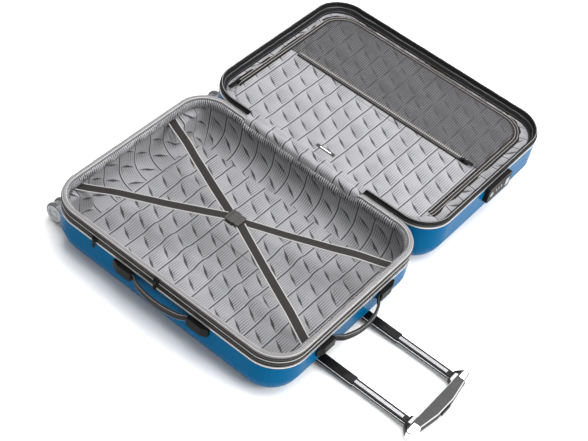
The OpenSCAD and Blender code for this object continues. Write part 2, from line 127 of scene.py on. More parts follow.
# %% The Wire class
class Wire:
    """One output socket of a node tree, with arithmetic."""

    def __init__(self, tree, socket):
        self.tree = tree
        self.socket = socket

    def node(self, kind, settings=None, out=0, **inputs):
        made = self.tree.nodes.new(kind)
        for key, value in (settings or {}).items():
            setattr(made, key, value)
        for key, value in inputs.items():
            index = int(key[1:]) if key[0] == "i" and key[1:].isdigit() else key.replace("_", " ")
            if isinstance(value, Wire):
                self.tree.links.new(value.socket, made.inputs[index])
            else:
                made.inputs[index].default_value = value
        return Wire(self.tree, made.outputs[out])

    def math(self, operation, a, b=0.0, c=0.0):
        return self.node("ShaderNodeMath", {"operation": operation}, i0=a, i1=b, i2=c)

    def wave(self, pitch):
        """A smooth wave from 0 to 1 along this length."""
        return self.math("SINE", self * (2 * math.pi / pitch)) * 0.5 + 0.5

    def wrap(self, pitch):
        """Signed distance from the middle of the cell this length falls in."""
        return self.math("WRAP", self, pitch / 2, -pitch / 2)

    def row(self, pitch):
        """Which cell of this pitch a length falls in, as a whole number."""
        return self.math("FLOOR", self * (1 / pitch) + 0.5)

    def step(self, low, high):
        """0 below low, 1 above high, smooth between."""
        return self.node(
            "ShaderNodeMapRange", {"interpolation_type": "SMOOTHSTEP"}, Value=self,
            From_Min=low, From_Max=high, To_Min=0.0, To_Max=1.0,
        )

    def parts(self):
        """This vector's three numbers."""
        split = self.node("ShaderNodeSeparateXYZ", i0=self).socket.node
        return [Wire(self.tree, output) for output in split.outputs]

    def stretched(self, x, y, z):
        return self.node("ShaderNodeVectorMath", {"operation": "MULTIPLY"}, i0=self, i1=(x, y, z))

    def noise(self, scale, detail=2.0, rough=0.5):
        return self.node(
            "ShaderNodeTexNoise", Vector=self, Scale=scale, Detail=detail, Roughness=rough
        )

    def tint(self, low, high):
        """This mask turned into a colour between two colours, which may be wires."""
        return self.node("ShaderNodeMix", {"data_type": "RGBA"}, out=2, i0=self, i6=low, i7=high)


def operator(operation, swapped=False):
    """A method that adds this Math node, with the other value first if it is swapped."""
    if swapped:
        return lambda wire, other: wire.math(operation, other, wire)
    return lambda wire, other=0.0: wire.math(operation, wire, other)


for sign, operation in (("add", "ADD"), ("sub", "SUBTRACT"), ("mul", "MULTIPLY")):
    setattr(Wire, f"__{sign}__", operator(operation))
    setattr(Wire, f"__r{sign}__", operator(operation, swapped=True))
for method, operation in (
    ("__gt__", "GREATER_THAN"), ("__pow__", "POWER"), ("__abs__", "ABSOLUTE"), ("most", "MAXIMUM")
):
    setattr(Wire, method, operator(operation))


def rgb(r, g, b):
    return (r, g, b, 1.0)


def grey(level):
    return rgb(level, level, level)


def finish(name, paint, **fixed):
    """A material. paint() returns the wires of the varying sockets, and fixed holds plain values."""
    made = bpy.data.materials.new(name)
    made.use_nodes = True
    tree = made.node_tree
    shader = tree.nodes["Principled BSDF"]
    for key, value in fixed.items():
        shader.inputs[key.replace("_", " ")].default_value = value
    coordinates = tree.nodes.new("ShaderNodeTexCoord")
    place, cloth = (Wire(tree, coordinates.outputs[name]) for name in ("Object", "UV"))
    wires = paint(place, cloth)
    if "height" in wires:
        wires["Normal"] = place.node(
            "ShaderNodeBump", Strength=1.0, Distance=wires.pop("depth"), Height=wires.pop("height")
        )
    for key, wire in wires.items():
        tree.links.new(wire.socket, shader.inputs[key])
    return made


print("shader helpers ready")

# %% [markdown]
# ## Hard finishes
# The shells are moulded plastic: deep glossy blue with a faint orange-peel texture that breaks up the
# reflections. Black mouldings have a fine spark-eroded grain. Tubes are gloss black with a painted
# highlight on each side wall, a bright drawn line. None of these is one flat colour: each gets slow
# colour drift and small changes of roughness, because that is what tells the eye how big the surface
# is.

# %% Hard materials
def paint_shell(place, cloth):
    drift = place.noise(6, 3)
    grain = place.noise(900, 2)
    scuff = place.noise(60, 4).step(0.62, 0.8)
    return {
        "Base Color": drift.tint(rgb(0.0, 0.066, 0.165), rgb(0.0, 0.092, 0.210)),
        "Roughness": 0.17 + scuff * 0.08 + drift * 0.05,
        "height": grain + place.noise(220, 1) * 1.5,
        "depth": 0.00005,
    }


def paint_moulding(dark, light):
    def paint(place, cloth):
        grain = place.noise(1400, 2)
        patch = place.noise(30, 3)
        return {
            "Base Color": patch.tint(rgb(*dark), rgb(*light)),
            "Roughness": 0.36 + grain * 0.18,
            "height": grain,
            "depth": 0.00012,
        }
    return paint


def paint_metal(colour, rough):
    def paint(place, cloth):
        lines = place.stretched(4, 90, 90).noise(14, 3)
        return {
            "Base Color": lines.tint(rgb(*[c * 0.88 for c in colour]), rgb(*colour)),
            "Roughness": rough + lines * 0.10,
            "height": lines,
            "depth": 0.00002,
        }
    return paint


print("shell, moulding and metal ready")

# %% [markdown]
# ## Finishes that change with place
# Some parts are one solid with two finishes: a tube with a painted highlight line, a grip with a grey
# top, a cap with a groove, a wheel with a rubber tread. A mask on the height or the radius picks the
# finish, with its place measured from the part's own box.

# %% Tubes, grip, caps and wheels
tube_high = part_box("inner_tubes")[1]
LEG_HALF = 9 * MM
LEG_Y, TUBE_TOP = tube_high.y - LEG_HALF, tube_high.z


def paint_tube_with_painted_highlight(place, cloth):
    """Gloss black, with a painted highlight: one bright line high on each side wall."""
    x, y, z = place.parts()
    side = (abs(abs(y) - LEG_Y) > 0.0085) * (1 - z.step(TUBE_TOP - 0.0030, TUBE_TOP - 0.0027))
    # line is a painted highlight: a bright metallic band that stands in for light along each side wall.
    line = side * z.step(TUBE_TOP - 0.0046, TUBE_TOP - 0.0043)
    streak = place.stretched(3, 80, 80).noise(12, 3)
    dark = streak.tint(grey(0.002), grey(0.005))
    return {
        "Base Color": line.tint(dark, rgb(0.60, 0.60, 0.61)),
        "Metallic": line * 0.9,
        "Roughness": 0.20 + streak * 0.10,
    }


GRIP_LOW, GRIP_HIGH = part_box("grip_body")
GRIP_TOP = GRIP_HIGH.z
GROOVE_DROP = 6.2 * MM


def paint_grip(place, cloth):
    """Soft grey on top, black round the sides, with a pale bead where the two meet."""
    x, y, z = place.parts()
    top = z.step(GRIP_TOP - 0.0010, GRIP_TOP - 0.0007)
    bead = z.step(GRIP_TOP - 0.0029, GRIP_TOP - 0.0026) * (1 - top) * (1 - abs(y).step(0.082, 0.084))
    grain = place.noise(1400, 2)
    soft = place.noise(30, 3).tint(rgb(0.032, 0.032, 0.033), rgb(0.050, 0.050, 0.051))
    sides = top.tint(grey(0.003), soft)
    return {
        "Base Color": bead.tint(sides, grey(0.42)),
        "Roughness": 0.40 + grain * 0.15,
        "height": grain,
        "depth": 0.0002,
    }


def paint_cap(place, cloth):
    """Bright plating with a dark groove round the side."""
    x, y, z = place.parts()
    groove = 1 - abs(z - (GRIP_TOP - GROOVE_DROP)).step(0.0006, 0.0009)
    cloudy = place.noise(120, 2)
    return {
        "Base Color": groove.tint(rgb(0.86, 0.86, 0.87), grey(0.01)),
        "Metallic": 1 - groove,
        "Roughness": 0.05 + cloudy * 0.06,
    }


AXLE_X, _, AXLE_Z = middle_of("wheels_1")
TREAD_FROM = 19.6 * MM


def paint_wheel(place, cloth):
    x, y, z = place.parts()
    radius = ((x - AXLE_X) ** 2 + (z - AXLE_Z) ** 2) ** 0.5
    tread = radius.step(TREAD_FROM, TREAD_FROM + 0.4 * MM)
    grain = place.noise(700, 3)
    hub = place.noise(90, 2).tint(rgb(0.30, 0.31, 0.33), rgb(0.42, 0.43, 0.45))
    rubber = grain.tint(rgb(0.07, 0.07, 0.075), rgb(0.12, 0.12, 0.125))
    return {
        "Base Color": tread.tint(hub, rubber),
        "Roughness": 0.28 + tread * 0.35 + grain * 0.08,
        "height": grain * tread,
        "depth": 0.00015,
    }


shell_blue = finish("moulded_shell", paint_shell, IOR=1.42, Specular_IOR_Level=0.02)
trim_silver = finish("silver_trim", paint_metal((0.50, 0.50, 0.51), 0.26), Metallic=0.35)
black = paint_moulding((0.002, 0.002, 0.002), (0.005, 0.005, 0.005))
plastic_black = finish("black_moulding", black, Specular_IOR_Level=0.07)
warm_grey = paint_moulding((0.022, 0.021, 0.020), (0.038, 0.036, 0.034))
buckle_grey = finish("buckle_moulding", warm_grey, Specular_IOR_Level=0.3)
fork_grey = finish("fork_moulding", paint_moulding((0.26, 0.27, 0.29), (0.36, 0.37, 0.39)))
soft_grip = finish("soft_grip", paint_grip, Specular_IOR_Level=0.15)
grip_cap = finish("plated_cap", paint_cap)
lock_metal = finish("lock_metal", paint_metal((0.30, 0.30, 0.31), 0.30), Metallic=0.8)
plain_metal = finish("drawn_metal", paint_metal((0.60, 0.60, 0.62), 0.30), Metallic=0.8)
chrome = finish("bright_chrome", paint_metal((0.86, 0.86, 0.87), 0.04), Metallic=1.0)
tube_black = finish("black_tube_painted_highlight", paint_tube_with_painted_highlight, Specular_IOR_Level=0.10)
wheel_grey = finish("caster_wheel", paint_wheel)
print("hard finishes:", len(bpy.data.materials))

# %% [markdown]
# ## Cloth finishes
# The lining is a light grey woven cloth with a printed pattern: thin dark rules 46 mm apart, a short
# slanted needle in each cell between them, and fine hatching that fades away from it. The pattern
# follows each panel's own UV map, which holds real metres along the cloth, so it turns up walls as
# the cloth does.

# %% Cloth materials
RULE_PITCH = 0.046
DASH_PITCH = 0.044
ROW_SHIFT = 0.22
SLANT_X, SLANT_Y = 0.862, -0.507


def weave(u, v, pitch):
    warp, weft = u.wave(pitch), v.wave(pitch * 1.1)
    return warp * weft + (1 - warp) * (1 - weft)


def line_at(v, at, soft_from=0.0004, soft_to=0.0008):
    """1 on a line along the cloth at this v, 0 away from it."""
    return 1 - abs(v - at).step(soft_from, soft_to)


def paint_lining(place, cloth):
    """Rules along the cloth, a slanted needle in each cell between them, and hatching beside it."""
    u, v, w = cloth.parts()
    u = u + (cloth.noise(9, 2) - 0.5) * 0.004
    cell_u = u.wrap(RULE_PITCH)
    cell_v = (v - u.row(RULE_PITCH) * (ROW_SHIFT * DASH_PITCH)).wrap(DASH_PITCH)
    along = abs(cell_u * SLANT_X + cell_v * SLANT_Y)
    beside = cell_v * SLANT_X - cell_u * SLANT_Y
    needle = 1 - (abs(beside) + along * 0.14).step(0.0026, 0.0034)
    hairline = line_at(beside, 0.0, 0.0004, 0.0009) * (1 - along.step(0.0150, 0.0170)) * 0.5
    to_rule = RULE_PITCH / 2 - abs(cell_u)
    rule = 1 - to_rule.step(0.0014, 0.0019)
    stripe = cell_u.wave(RULE_PITCH / 9).step(0.20, 0.50)
    drop = beside * (1 / (DASH_PITCH * SLANT_X))
    fade = drop - drop.math("FLOOR", drop)
    patch = cloth.noise(23, 2).step(0.35, 0.65)
    hatch = stripe * (1 - fade * 0.7) * (0.6 + patch * 0.4) * to_rule.step(0.0025, 0.0045)
    threads = weave(u, v, 0.0011)
    soil = cloth.noise(14, 4)
    light = soil.tint(rgb(0.20, 0.20, 0.211), rgb(0.33, 0.33, 0.344))
    ink = (hatch * 0.72).most(needle * 0.97).most(hairline).most(rule * 0.97)
    printed = ink.tint(light, rgb(0.008, 0.008, 0.010))
    return {
        "Base Color": (threads * 0.12).tint(printed, rgb(0.12, 0.12, 0.13)),
        "Roughness": 0.62 + soil * 0.2,
        "height": threads + hatch * 0.8,
        "depth": 0.00025,
    }


print("rules every", RULE_PITCH, "m, needles every", DASH_PITCH, "m")

# %% [markdown]
# ## Tapes and gathered cloth
# The tapes that cover the rims have cords and lines that run along them, at a fixed distance across
# the tape. The frill is the lining's own cloth, drawn up so tightly that no print shows; its dark
# ticks are painted shade in the creases of the gathers.

# %% Bindings, skirt and frill
def paint_binding(place, cloth):
    """Satin tape: mid grey, with a pale cord along each shoulder and painted shade in the gathers on
    the inside.
    """
    u, v, w = cloth.parts()
    shoulder = line_at(v, 0.0052, 0.0006, 0.0011).most(line_at(v, 0.0142, 0.0006, 0.0011))
    inside = v.step(0.0152, 0.0160)
    gathers = (u + cloth.noise(60, 2) * 0.003).wave(0.0042).step(0.45, 0.75)
    ribs = u.wave(0.0019)
    soil = cloth.noise(40, 3)
    satin = soil.tint(rgb(0.110, 0.106, 0.109), rgb(0.19, 0.184, 0.188))
    # Painted shade: the gathers on the inside are darkened to near black where their creases fall.
    body = (gathers * inside * 0.9).tint(satin, rgb(0.020, 0.020, 0.021))
    return {
        "Base Color": (shoulder * 0.85).tint(body, rgb(0.46, 0.45, 0.445)),
        "Roughness": 0.40 + ribs * 0.2,
        "height": ribs + soil + shoulder * 2.0 - gathers * inside * 1.5,
        "depth": 0.00035,
    }


def paint_lid_binding(place, cloth):
    """Black woven tape with one thin grey line along its crown."""
    u, v, w = cloth.parts()
    line = line_at(v, 0.0080, 0.0005)
    ribs = v.wave(0.0016)
    fuzz = cloth.noise(700, 3)
    dark = fuzz.tint(grey(0.003), rgb(0.012, 0.012, 0.011))
    return {
        "Base Color": (line * 0.8).tint(dark, grey(0.30)),
        "Roughness": 0.5 + fuzz * 0.2,
        "height": ribs + fuzz * 0.4,
        "depth": 0.00025,
    }


def paint_pale_cord(place, cloth):
    twist = place.noise(700, 2)
    return {
        "Base Color": twist.tint(rgb(0.30, 0.285, 0.27), rgb(0.44, 0.425, 0.40)),
        "Roughness": 0.5 + twist * 0.2,
    }


def paint_skirt(place, cloth):
    """Thin black cloth with two faint woven lines."""
    u, v, w = cloth.parts()
    fuzz = cloth.noise(260, 3)
    line = line_at(v, 0.009).most(line_at(v, 0.020) * 0.6)
    dark = fuzz.tint(grey(0.002), rgb(0.012, 0.012, 0.013))
    return {
        "Base Color": (line * 0.6).tint(dark, grey(0.22)),
        "Roughness": 0.5 + fuzz * 0.25,
        "height": fuzz,
        "depth": 0.0004,
    }


GATHER_PITCH = 5.2 * MM


def paint_frill(place, cloth):
    """Lining cloth drawn up on a thread, with painted shade as dark ticks in the creases of its
    gathers.
    """
    u, v, w = cloth.parts()
    drift = cloth.noise(40, 2)
    # Painted shade: dark ticks at the gathers' pitch, where the creases of the folds fall.
    painted_crease_shade = (u + drift * 0.004).wave(GATHER_PITCH).step(0.42, 0.62)
    broken = cloth.noise(160, 2).step(0.30, 0.55)
    soil = cloth.noise(20, 3)
    light = soil.tint(rgb(0.20, 0.20, 0.21), rgb(0.34, 0.34, 0.355))
    return {
        "Base Color": (painted_crease_shade * (0.35 + broken * 0.63)).tint(light, rgb(0.010, 0.010, 0.011)),
        "Roughness": 0.6 + soil * 0.2,
        "height": u.wave(GATHER_PITCH),
        "depth": 0.0008,
    }


print("gathers every", GATHER_PITCH, "m")

# %% [markdown]
# ## Webbing, mesh and thread
# These are woven or moulded at a scale of one to five millimetres, so each has ribs or cords made of
# waves along and across it. The mesh is the only one that lets what is behind it show.

# %% Tape, webbing, tag, mesh, teeth, thread and handle skin
def paint_tape(place, cloth):
    x, y, z = place.parts()
    ribs = z.wave(0.0013)
    fuzz = place.noise(800, 3)
    return {
        "Base Color": fuzz.tint(grey(0.003), rgb(0.014, 0.013, 0.012)),
        "Roughness": 0.55 + fuzz * 0.25,
        "height": ribs + fuzz * 0.4,
        "depth": 0.0002,
    }


def paint_webbing(place, cloth):
    u, v, w = cloth.parts()
    edge = abs(v).step(0.0086, 0.0091) * (1 - abs(v).step(0.0110, 0.0113))
    ribs = u.wave(0.0022)
    weft = v.wave(0.0016)
    dark = (ribs * weft).tint(rgb(0.012, 0.011, 0.010), rgb(0.030, 0.028, 0.026))
    return {
        "Base Color": edge.tint(dark, rgb(0.30, 0.297, 0.288)),
        "Roughness": 0.55 + ribs * 0.25,
        "height": ribs * (0.5 + weft),
        "depth": 0.0002,
    }


TAG_X, TAG_Y, _ = middle_of("panel_tag")


def paint_tag(place, cloth):
    """Black, with a plain white bar along its middle."""
    x, y, z = place.parts()
    bar = line_at(x, TAG_X, 0.0145, 0.0150) * line_at(y, TAG_Y, 0.0014, 0.0018)
    grain = place.noise(900, 2)
    dark = grain.tint(grey(0.002), grey(0.006))
    return {
        "Base Color": bar.tint(dark, grey(0.70)),
        "Roughness": 0.5 + grain * 0.1,
    }


def paint_mesh(place, cloth):
    """Dark knitted mesh: close cords along the cloth, thin ones across, and open between."""
    u, v, w = cloth.parts()
    cord = (u + v * 0.08).wave(0.0050).step(0.30, 0.62)
    cross = v.wave(0.0030).step(0.72, 0.92)
    fuzz = cloth.noise(300, 3)
    return {
        "Base Color": fuzz.tint(rgb(0.040, 0.040, 0.041), rgb(0.085, 0.085, 0.087)),
        "Roughness": 0.6 + fuzz * 0.2,
        "Alpha": 0.12 + cord.most(cross * 0.5) * 0.62,
        "height": cord,
        "depth": 0.0003,
    }


def paint_teeth(place, cloth):
    shine = place.noise(500, 2)
    return {
        "Base Color": shine.tint(grey(0.006), rgb(0.035, 0.034, 0.033)),
        "Roughness": 0.25 + shine * 0.2,
    }


def paint_thread(place, cloth):
    twist = place.noise(1500, 2)
    return {
        "Base Color": twist.tint(grey(0.22), grey(0.34)),
        "Roughness": 0.6 + twist * 0.1,
    }


def paint_handle(place, cloth):
    u, v, w = cloth.parts()
    edge = abs(v).step(0.0072, 0.0075) * (1 - abs(v).step(0.0080, 0.0083))
    grain = place.noise(900, 3)
    dark = grain.tint(grey(0.010), rgb(0.020, 0.019, 0.019))
    return {
        "Base Color": (edge * 0.8).tint(dark, rgb(0.38, 0.375, 0.37)),
        "Roughness": 0.38 + grain * 0.2,
        "height": grain,
        "depth": 0.00015,
    }


lining = finish("printed_lining", paint_lining, Sheen_Weight=0.1)
binding = finish("rim_binding_cloth", paint_binding, Sheen_Weight=0.1)
lid_binding = finish("lid_binding_tape", paint_lid_binding, Specular_IOR_Level=0.12)
skirt_cloth = finish("black_skirt_cloth", paint_skirt, Specular_IOR_Level=0.12)
frill_cloth = finish("gathered_lining", paint_frill)
pale_cord = finish("pale_cord", paint_pale_cord)
tag_cloth = finish("sewn_tag", paint_tag)
zip_tape = finish("zip_tape", paint_tape, Specular_IOR_Level=0.12)
webbing = finish("strap_webbing", paint_webbing, Specular_IOR_Level=0.15)
mesh_cloth = finish("pocket_mesh", paint_mesh, Specular_IOR_Level=0.2)
teeth_dark = finish("zip_teeth", paint_teeth, Specular_IOR_Level=0.3)
stitch_thread = finish("stitch_thread", paint_thread)
handle_rubber = finish("handle_rubber", paint_handle, Specular_IOR_Level=0.10)
print("cloth finishes ready")

# %% [markdown]
# ## Finishing the CAD nodes
# A CAD node keeps its mesh, and takes a material by assignment. Its corners are knife sharp, which no
# moulding is, so small mouldings get a Weld and a narrow Bevel modifier: a bright line along an edge
# is what makes a part look moulded.

# %% Materials on the CAD nodes
FOUR = ("1", "2", "3", "4")
FORKS, WHEELS = ["fork_" + n for n in FOUR], ["wheels_" + n for n in FOUR]
KEPT = {
    shell_blue: ["base_shell", "lid_shell"],
    trim_silver: ["base_piping", "lid_piping"],
    zip_tape: ["base_zip_band", "lid_zip_band"],
    plastic_black: [
        "base_caster_plates", "lid_caster_plates", "trolley_bezel", "side_handle_plates",
        "end_handle_plates", "lock_housing", "grip_button", "main_pull", "main_slider", "wide_slider",
        "divider_slider", "divider_pull", "mesh_slider", "mesh_pull",
    ],
    buckle_grey: ["buckle_female", "buckle_male"],
    fork_grey: FORKS,
    soft_grip: ["grip_body"],
    plain_metal: ["trolley_sheaths"],
    lock_metal: ["dial_1", "dial_2", "dial_3", "lock_button", "key_cylinder"],
    grip_cap: ["grip_caps"],
    tube_black: ["middle_tubes", "middle_collars", "inner_tubes"],
    wheel_grey: WHEELS,
    tag_cloth: ["panel_tag"],
}
BEVELLED = {
    "side_handle_plates": 1.2, "end_handle_plates": 1.2, "lock_housing": 1.0, "buckle_female": 1.0,
    "buckle_male": 0.8, "main_pull": 0.5, "divider_pull": 0.5, "mesh_pull": 0.5, "main_slider": 0.5,
    "wide_slider": 0.5, "divider_slider": 0.4, "mesh_slider": 0.4, "lock_button": 0.6,
    "grip_button": 0.6, "key_cylinder": 0.3, "trolley_bezel": 0.8,
    "base_caster_plates": 0.5, "lid_caster_plates": 0.5, "middle_collars": 0.3,
    **{fork: 0.6 for fork in FORKS},
}
for material, names in KEPT.items():
    for name in names:
        nodes[name].data.materials.clear()
        nodes[name].data.materials.append(material)
for name, width in BEVELLED.items():
    weld = nodes[name].modifiers.new("weld", "WELD")
    weld.merge_threshold = 0.00001
    bevel = nodes[name].modifiers.new("bevel", "BEVEL")
    bevel.width = width * MM
    bevel.segments = 2
    bevel.limit_method = "ANGLE"
    bevel.angle_limit = math.radians(35)
    bevel.use_clamp_overlap = True
    bevel.harden_normals = True
print("finished", sum(len(n) for n in KEPT.values()), "CAD nodes,", len(BEVELLED), "bevelled")

# %% [markdown]
# ## Loops that follow the rim
# Linings, bindings and zip bands all follow the same rounded rectangle at different depths. One
# function gives that loop with a fixed number of points on each side and corner, so any two loops
# match point for point and a surface can be lofted between them.

# %% Rim loops and lofts
SIDE_X, SIDE_Y, TURN = 94, 66, 24
LOOP = 2 * (SIDE_X + SIDE_Y) + 4 * TURN


def rim_loop(half_x, half_y, corner, middle_y=0.0, middle_x=0.0, fine=1):
    """Points and outward directions round a rounded rectangle, from the near side's left end."""
    turn = TURN * fine
    corner = max(corner, 1e-5)
    a, b = half_x - corner, half_y - corner
    points, outs = [], []
    sides = [
        ((-a, -half_y), (1, 0), 2 * a, SIDE_X, (0, -1), (a, -b), -90),
        ((half_x, -b), (0, 1), 2 * b, SIDE_Y, (1, 0), (a, b), 0),
        ((a, half_y), (-1, 0), 2 * a, SIDE_X, (0, 1), (-a, b), 90),
        ((-half_x, b), (0, -1), 2 * b, SIDE_Y, (-1, 0), (-a, -b), 180),
    ]
    for (x0, y0), (dx, dy), length, count, out, (cx, cy), start in sides:
        for i in range(count * fine):
            t = length * i / (count * fine)
            points.append((x0 + dx * t + middle_x, y0 + dy * t + middle_y))
            outs.append(out)
        for i in range(turn):
            angle = math.radians(start + 90 * i / turn)
            c, s = math.cos(angle), math.sin(angle)
            points.append((cx + corner * c + middle_x, cy + corner * s + middle_y))
            outs.append((c, s))
    return points, outs


def case_loop(inset, middle_y=0.0, fine=1):
    return rim_loop(HALF_L - inset, HALF_W - inset, CORNER - inset, middle_y, 0.0, fine)


def panel_loop(grow, share=1.0):
    """The divider panel's outline, grown outwards, or shrunk to a share of its size."""
    half_x = 0.06 + (PANEL_HX + grow - 0.06) * share
    half_y, corner = (PANEL_HY + grow) * share + 1e-4 * (1 - share), (PANEL_CORNER + grow) * share
    return rim_loop(half_x, half_y, corner, PANEL_Y, PANEL_X)[0]


def running_lengths(points):
    """How far along the line each point is, and last of all the way back to the first."""
    lengths = [0.0]
    for a, b in zip(points, points[1:] + points[:1]):
        lengths.append(lengths[-1] + math.dist(a, b))
    return lengths


RIM_LENGTHS = {fine: running_lengths(case_loop(0, 0.0, fine)[0]) for fine in (1, 4)}


def bent_loop(inset, z, shape, middle_y=0.0, fine=1):
    """The rim's loop at height z. shape(x, y, z, length) says how far a point moves out and up."""
    ring = []
    for (x, y), (ox, oy), length in zip(*case_loop(inset, middle_y, fine), RIM_LENGTHS[fine]):
        push, lift = shape(x, y, z, length)
        ring.append((x + ox * push, y + oy * push, z + lift))
    return ring


def eased(path, rounds):
    """A line of points drawn towards their neighbours a few times. Its ends stay in place."""
    for _ in range(rounds):
        path = [path[0]] + [
            ((a[0] + 2 * b[0] + c[0]) / 4, (a[1] + 2 * b[1] + c[1]) / 4)
            for a, b, c in zip(path, path[1:], path[2:])
        ] + [path[-1]]
    return path


def rumple(x, y, z):
    """Smooth noise between about -1 and 1, the same on each run."""
    return noise.noise(Vector((x, y, z)))


print("rim loop has", LOOP, "points and is", round(RIM_LENGTHS[1][-1], 3), "m round")

# %% [markdown]
# ## From loops to pieces
# A loft joins a stack of loops with faces and gives every corner its place on the cloth, in metres.
# The other helpers sweep a section round the rim, close a tube's ends, give a sheet its thickness, and
# place a finished piece on its body.

# %% Lofts, sweeps and placing
def mesh_object(name, vertices, faces, material, uv=None, sharp=40, merge=0.0):
    """A smooth mesh object at the origin. uv holds one (u, v) for each corner of each face."""
    mesh = bpy.data.meshes.new(name)
    mesh.from_pydata(vertices, [], faces)
    if uv is not None:
        layer = mesh.uv_layers.new(name="cloth")
        layer.data.foreach_set("uv", np.array(uv, np.float32).ravel())
    shape = bmesh.new()
    shape.from_mesh(mesh)
    if merge:
        bmesh.ops.remove_doubles(shape, verts=shape.verts, dist=merge)
    for face in shape.faces:
        face.smooth = True
    for edge in shape.edges:
        edge.smooth = len(edge.link_faces) < 2 or edge.calc_face_angle(0) < math.radians(sharp)
    shape.to_mesh(mesh)
    shape.free()
    mesh.materials.append(material)
    return add_object(name, mesh)


def plain(strip, k, i):
    return 0.0, 0.0


def loft(
    name, rings, material, maps=plain, closed_round=True, closed_through=False, merge=0.0, sharp=40
):
    """Faces between rings of equal length. maps(k, i) gives the cloth place of point i of ring k,
    and may return a different one for the strip that starts at ring k, which makes a seam."""
    count = len(rings[0])
    vertices = [p for ring in rings for p in ring]
    faces, uv = [], []
    strips = len(rings) if closed_through else len(rings) - 1
    for k in range(strips):
        for i in range(count if closed_round else count - 1):
            j, here, after = i + 1, k * count, (k + 1) % len(rings) * count
            faces.append((here + i, here + j % count, after + j % count, after + i))
            uv += [maps(k, k, i), maps(k, k, j), maps(k, k + 1, j), maps(k, k + 1, i)]
    return mesh_object(name, vertices, faces, material, uv, sharp, merge)


def unmoved(x, y, z, length):
    return 0.0, 0.0


def swept_rim(name, profile, material, middle_y=0.0, shape=unmoved, sharp=40):
    """A closed cross-section of (inset, height) points carried round the rim."""
    around = running_lengths(profile)
    rings = [bent_loop(inset, z, shape, middle_y) for inset, z in profile]
    return loft(
        name, rings, material, lambda strip, k, i: (RIM_LENGTHS[1][i], around[k]),
        closed_through=True, sharp=sharp,
    )


def turn_out(obj):
    """Make a closed piece's faces point outwards."""
    shape = bmesh.new()
    shape.from_mesh(obj.data)
    bmesh.ops.recalc_face_normals(shape, faces=shape.faces)
    shape.to_mesh(obj.data)
    shape.free()
    return obj


def cap_ends(obj, count, rings):
    """Close both ends of a tube of this many rings with this many points each."""
    shape = bmesh.new()
    shape.from_mesh(obj.data)
    shape.verts.ensure_lookup_table()
    shape.faces.new([shape.verts[i] for i in range(count)][::-1])
    shape.faces.new([shape.verts[(rings - 1) * count + i] for i in range(count)])
    shape.to_mesh(obj.data)
    shape.free()
    return turn_out(obj)


def thicken(obj, thickness, offset=-1):
    solid = obj.modifiers.new("thickness", "SOLIDIFY")
    solid.thickness = thickness
    solid.offset = offset
    return obj


def place_piece(obj, body, slot, *replaced):
    print(obj.name, "rides on", body, "with", len(obj.data.polygons), "faces")
    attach(obj, body)
    if replaced:
        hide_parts(*replaced)
    return obj


print("loft helpers ready")

# %% [markdown]
# ## Rows of small parts, with Geometry Nodes
# Zip teeth, stitches and the trolley's ladder ribs are one small shape repeated along a line. A
# Geometry Nodes tree does that: the line becomes a curve, points are spread along it at a fixed
# pitch, and a little block is put on each, turned along the line. The tree ends in Realize Instances
# and Set Material, so what comes out is a plain mesh.

# %% The row-of-parts tree
def build_row_tree():
    tree = bpy.data.node_groups.new("row_of_parts", "GeometryNodeTree")
    for label, kind in (
        ("Line", "Geometry"), ("Pitch", "Float"), ("Part Size", "Vector"), ("Up", "Vector"),
        ("Round Ends", "Bool"), ("Finish", "Material"),
    ):
        tree.interface.new_socket(label, in_out="INPUT", socket_type="NodeSocket" + kind)
    tree.interface.new_socket("Parts", in_out="OUTPUT", socket_type="NodeSocketGeometry")
    source, curve, spread, turned, block, bead, sized, choice, put, real, coated, sink = (
        tree.nodes.new(kind) for kind in (
            "NodeGroupInput", "GeometryNodeMeshToCurve", "GeometryNodeCurveToPoints",
            "FunctionNodeAxesToRotation", "GeometryNodeMeshCube", "GeometryNodeMeshIcoSphere",
            "GeometryNodeTransform", "GeometryNodeSwitch", "GeometryNodeInstanceOnPoints",
            "GeometryNodeRealizeInstances", "GeometryNodeSetMaterial", "NodeGroupOutput",
        )
    )
    spread.mode = "LENGTH"
    turned.primary_axis, turned.secondary_axis = "X", "Z"
    bead.inputs["Radius"].default_value = 0.5
    bead.inputs["Subdivisions"].default_value = 1
    choice.input_type = "GEOMETRY"
    for giver, output, taker, taken in (
        (source, "Line", curve, "Mesh"), (curve, "Curve", spread, "Curve"),
        (source, "Pitch", spread, "Length"), (spread, "Tangent", turned, "Primary Axis"),
        (source, "Up", turned, "Secondary Axis"), (source, "Part Size", block, "Size"),
        (bead, "Mesh", sized, "Geometry"), (source, "Part Size", sized, "Scale"),
        (source, "Round Ends", choice, "Switch"), (block, "Mesh", choice, "False"),
        (sized, "Geometry", choice, "True"), (spread, "Points", put, "Points"),
        (choice, "Output", put, "Instance"), (turned, "Rotation", put, "Rotation"),
        (put, "Instances", real, "Geometry"), (real, "Geometry", coated, "Geometry"),
        (source, "Finish", coated, "Material"), (coated, "Geometry", sink, "Parts"),
    ):
        tree.links.new(giver.outputs[output], taker.inputs[taken])
    return tree


def as_built(obj):
    """The mesh that an object's modifiers make."""
    return bpy.data.meshes.new_from_object(obj.evaluated_get(bpy.context.evaluated_depsgraph_get()))


row_tree = build_row_tree()
row_inputs = {s.name: s.identifier for s in row_tree.interface.items_tree if s.in_out == "INPUT"}


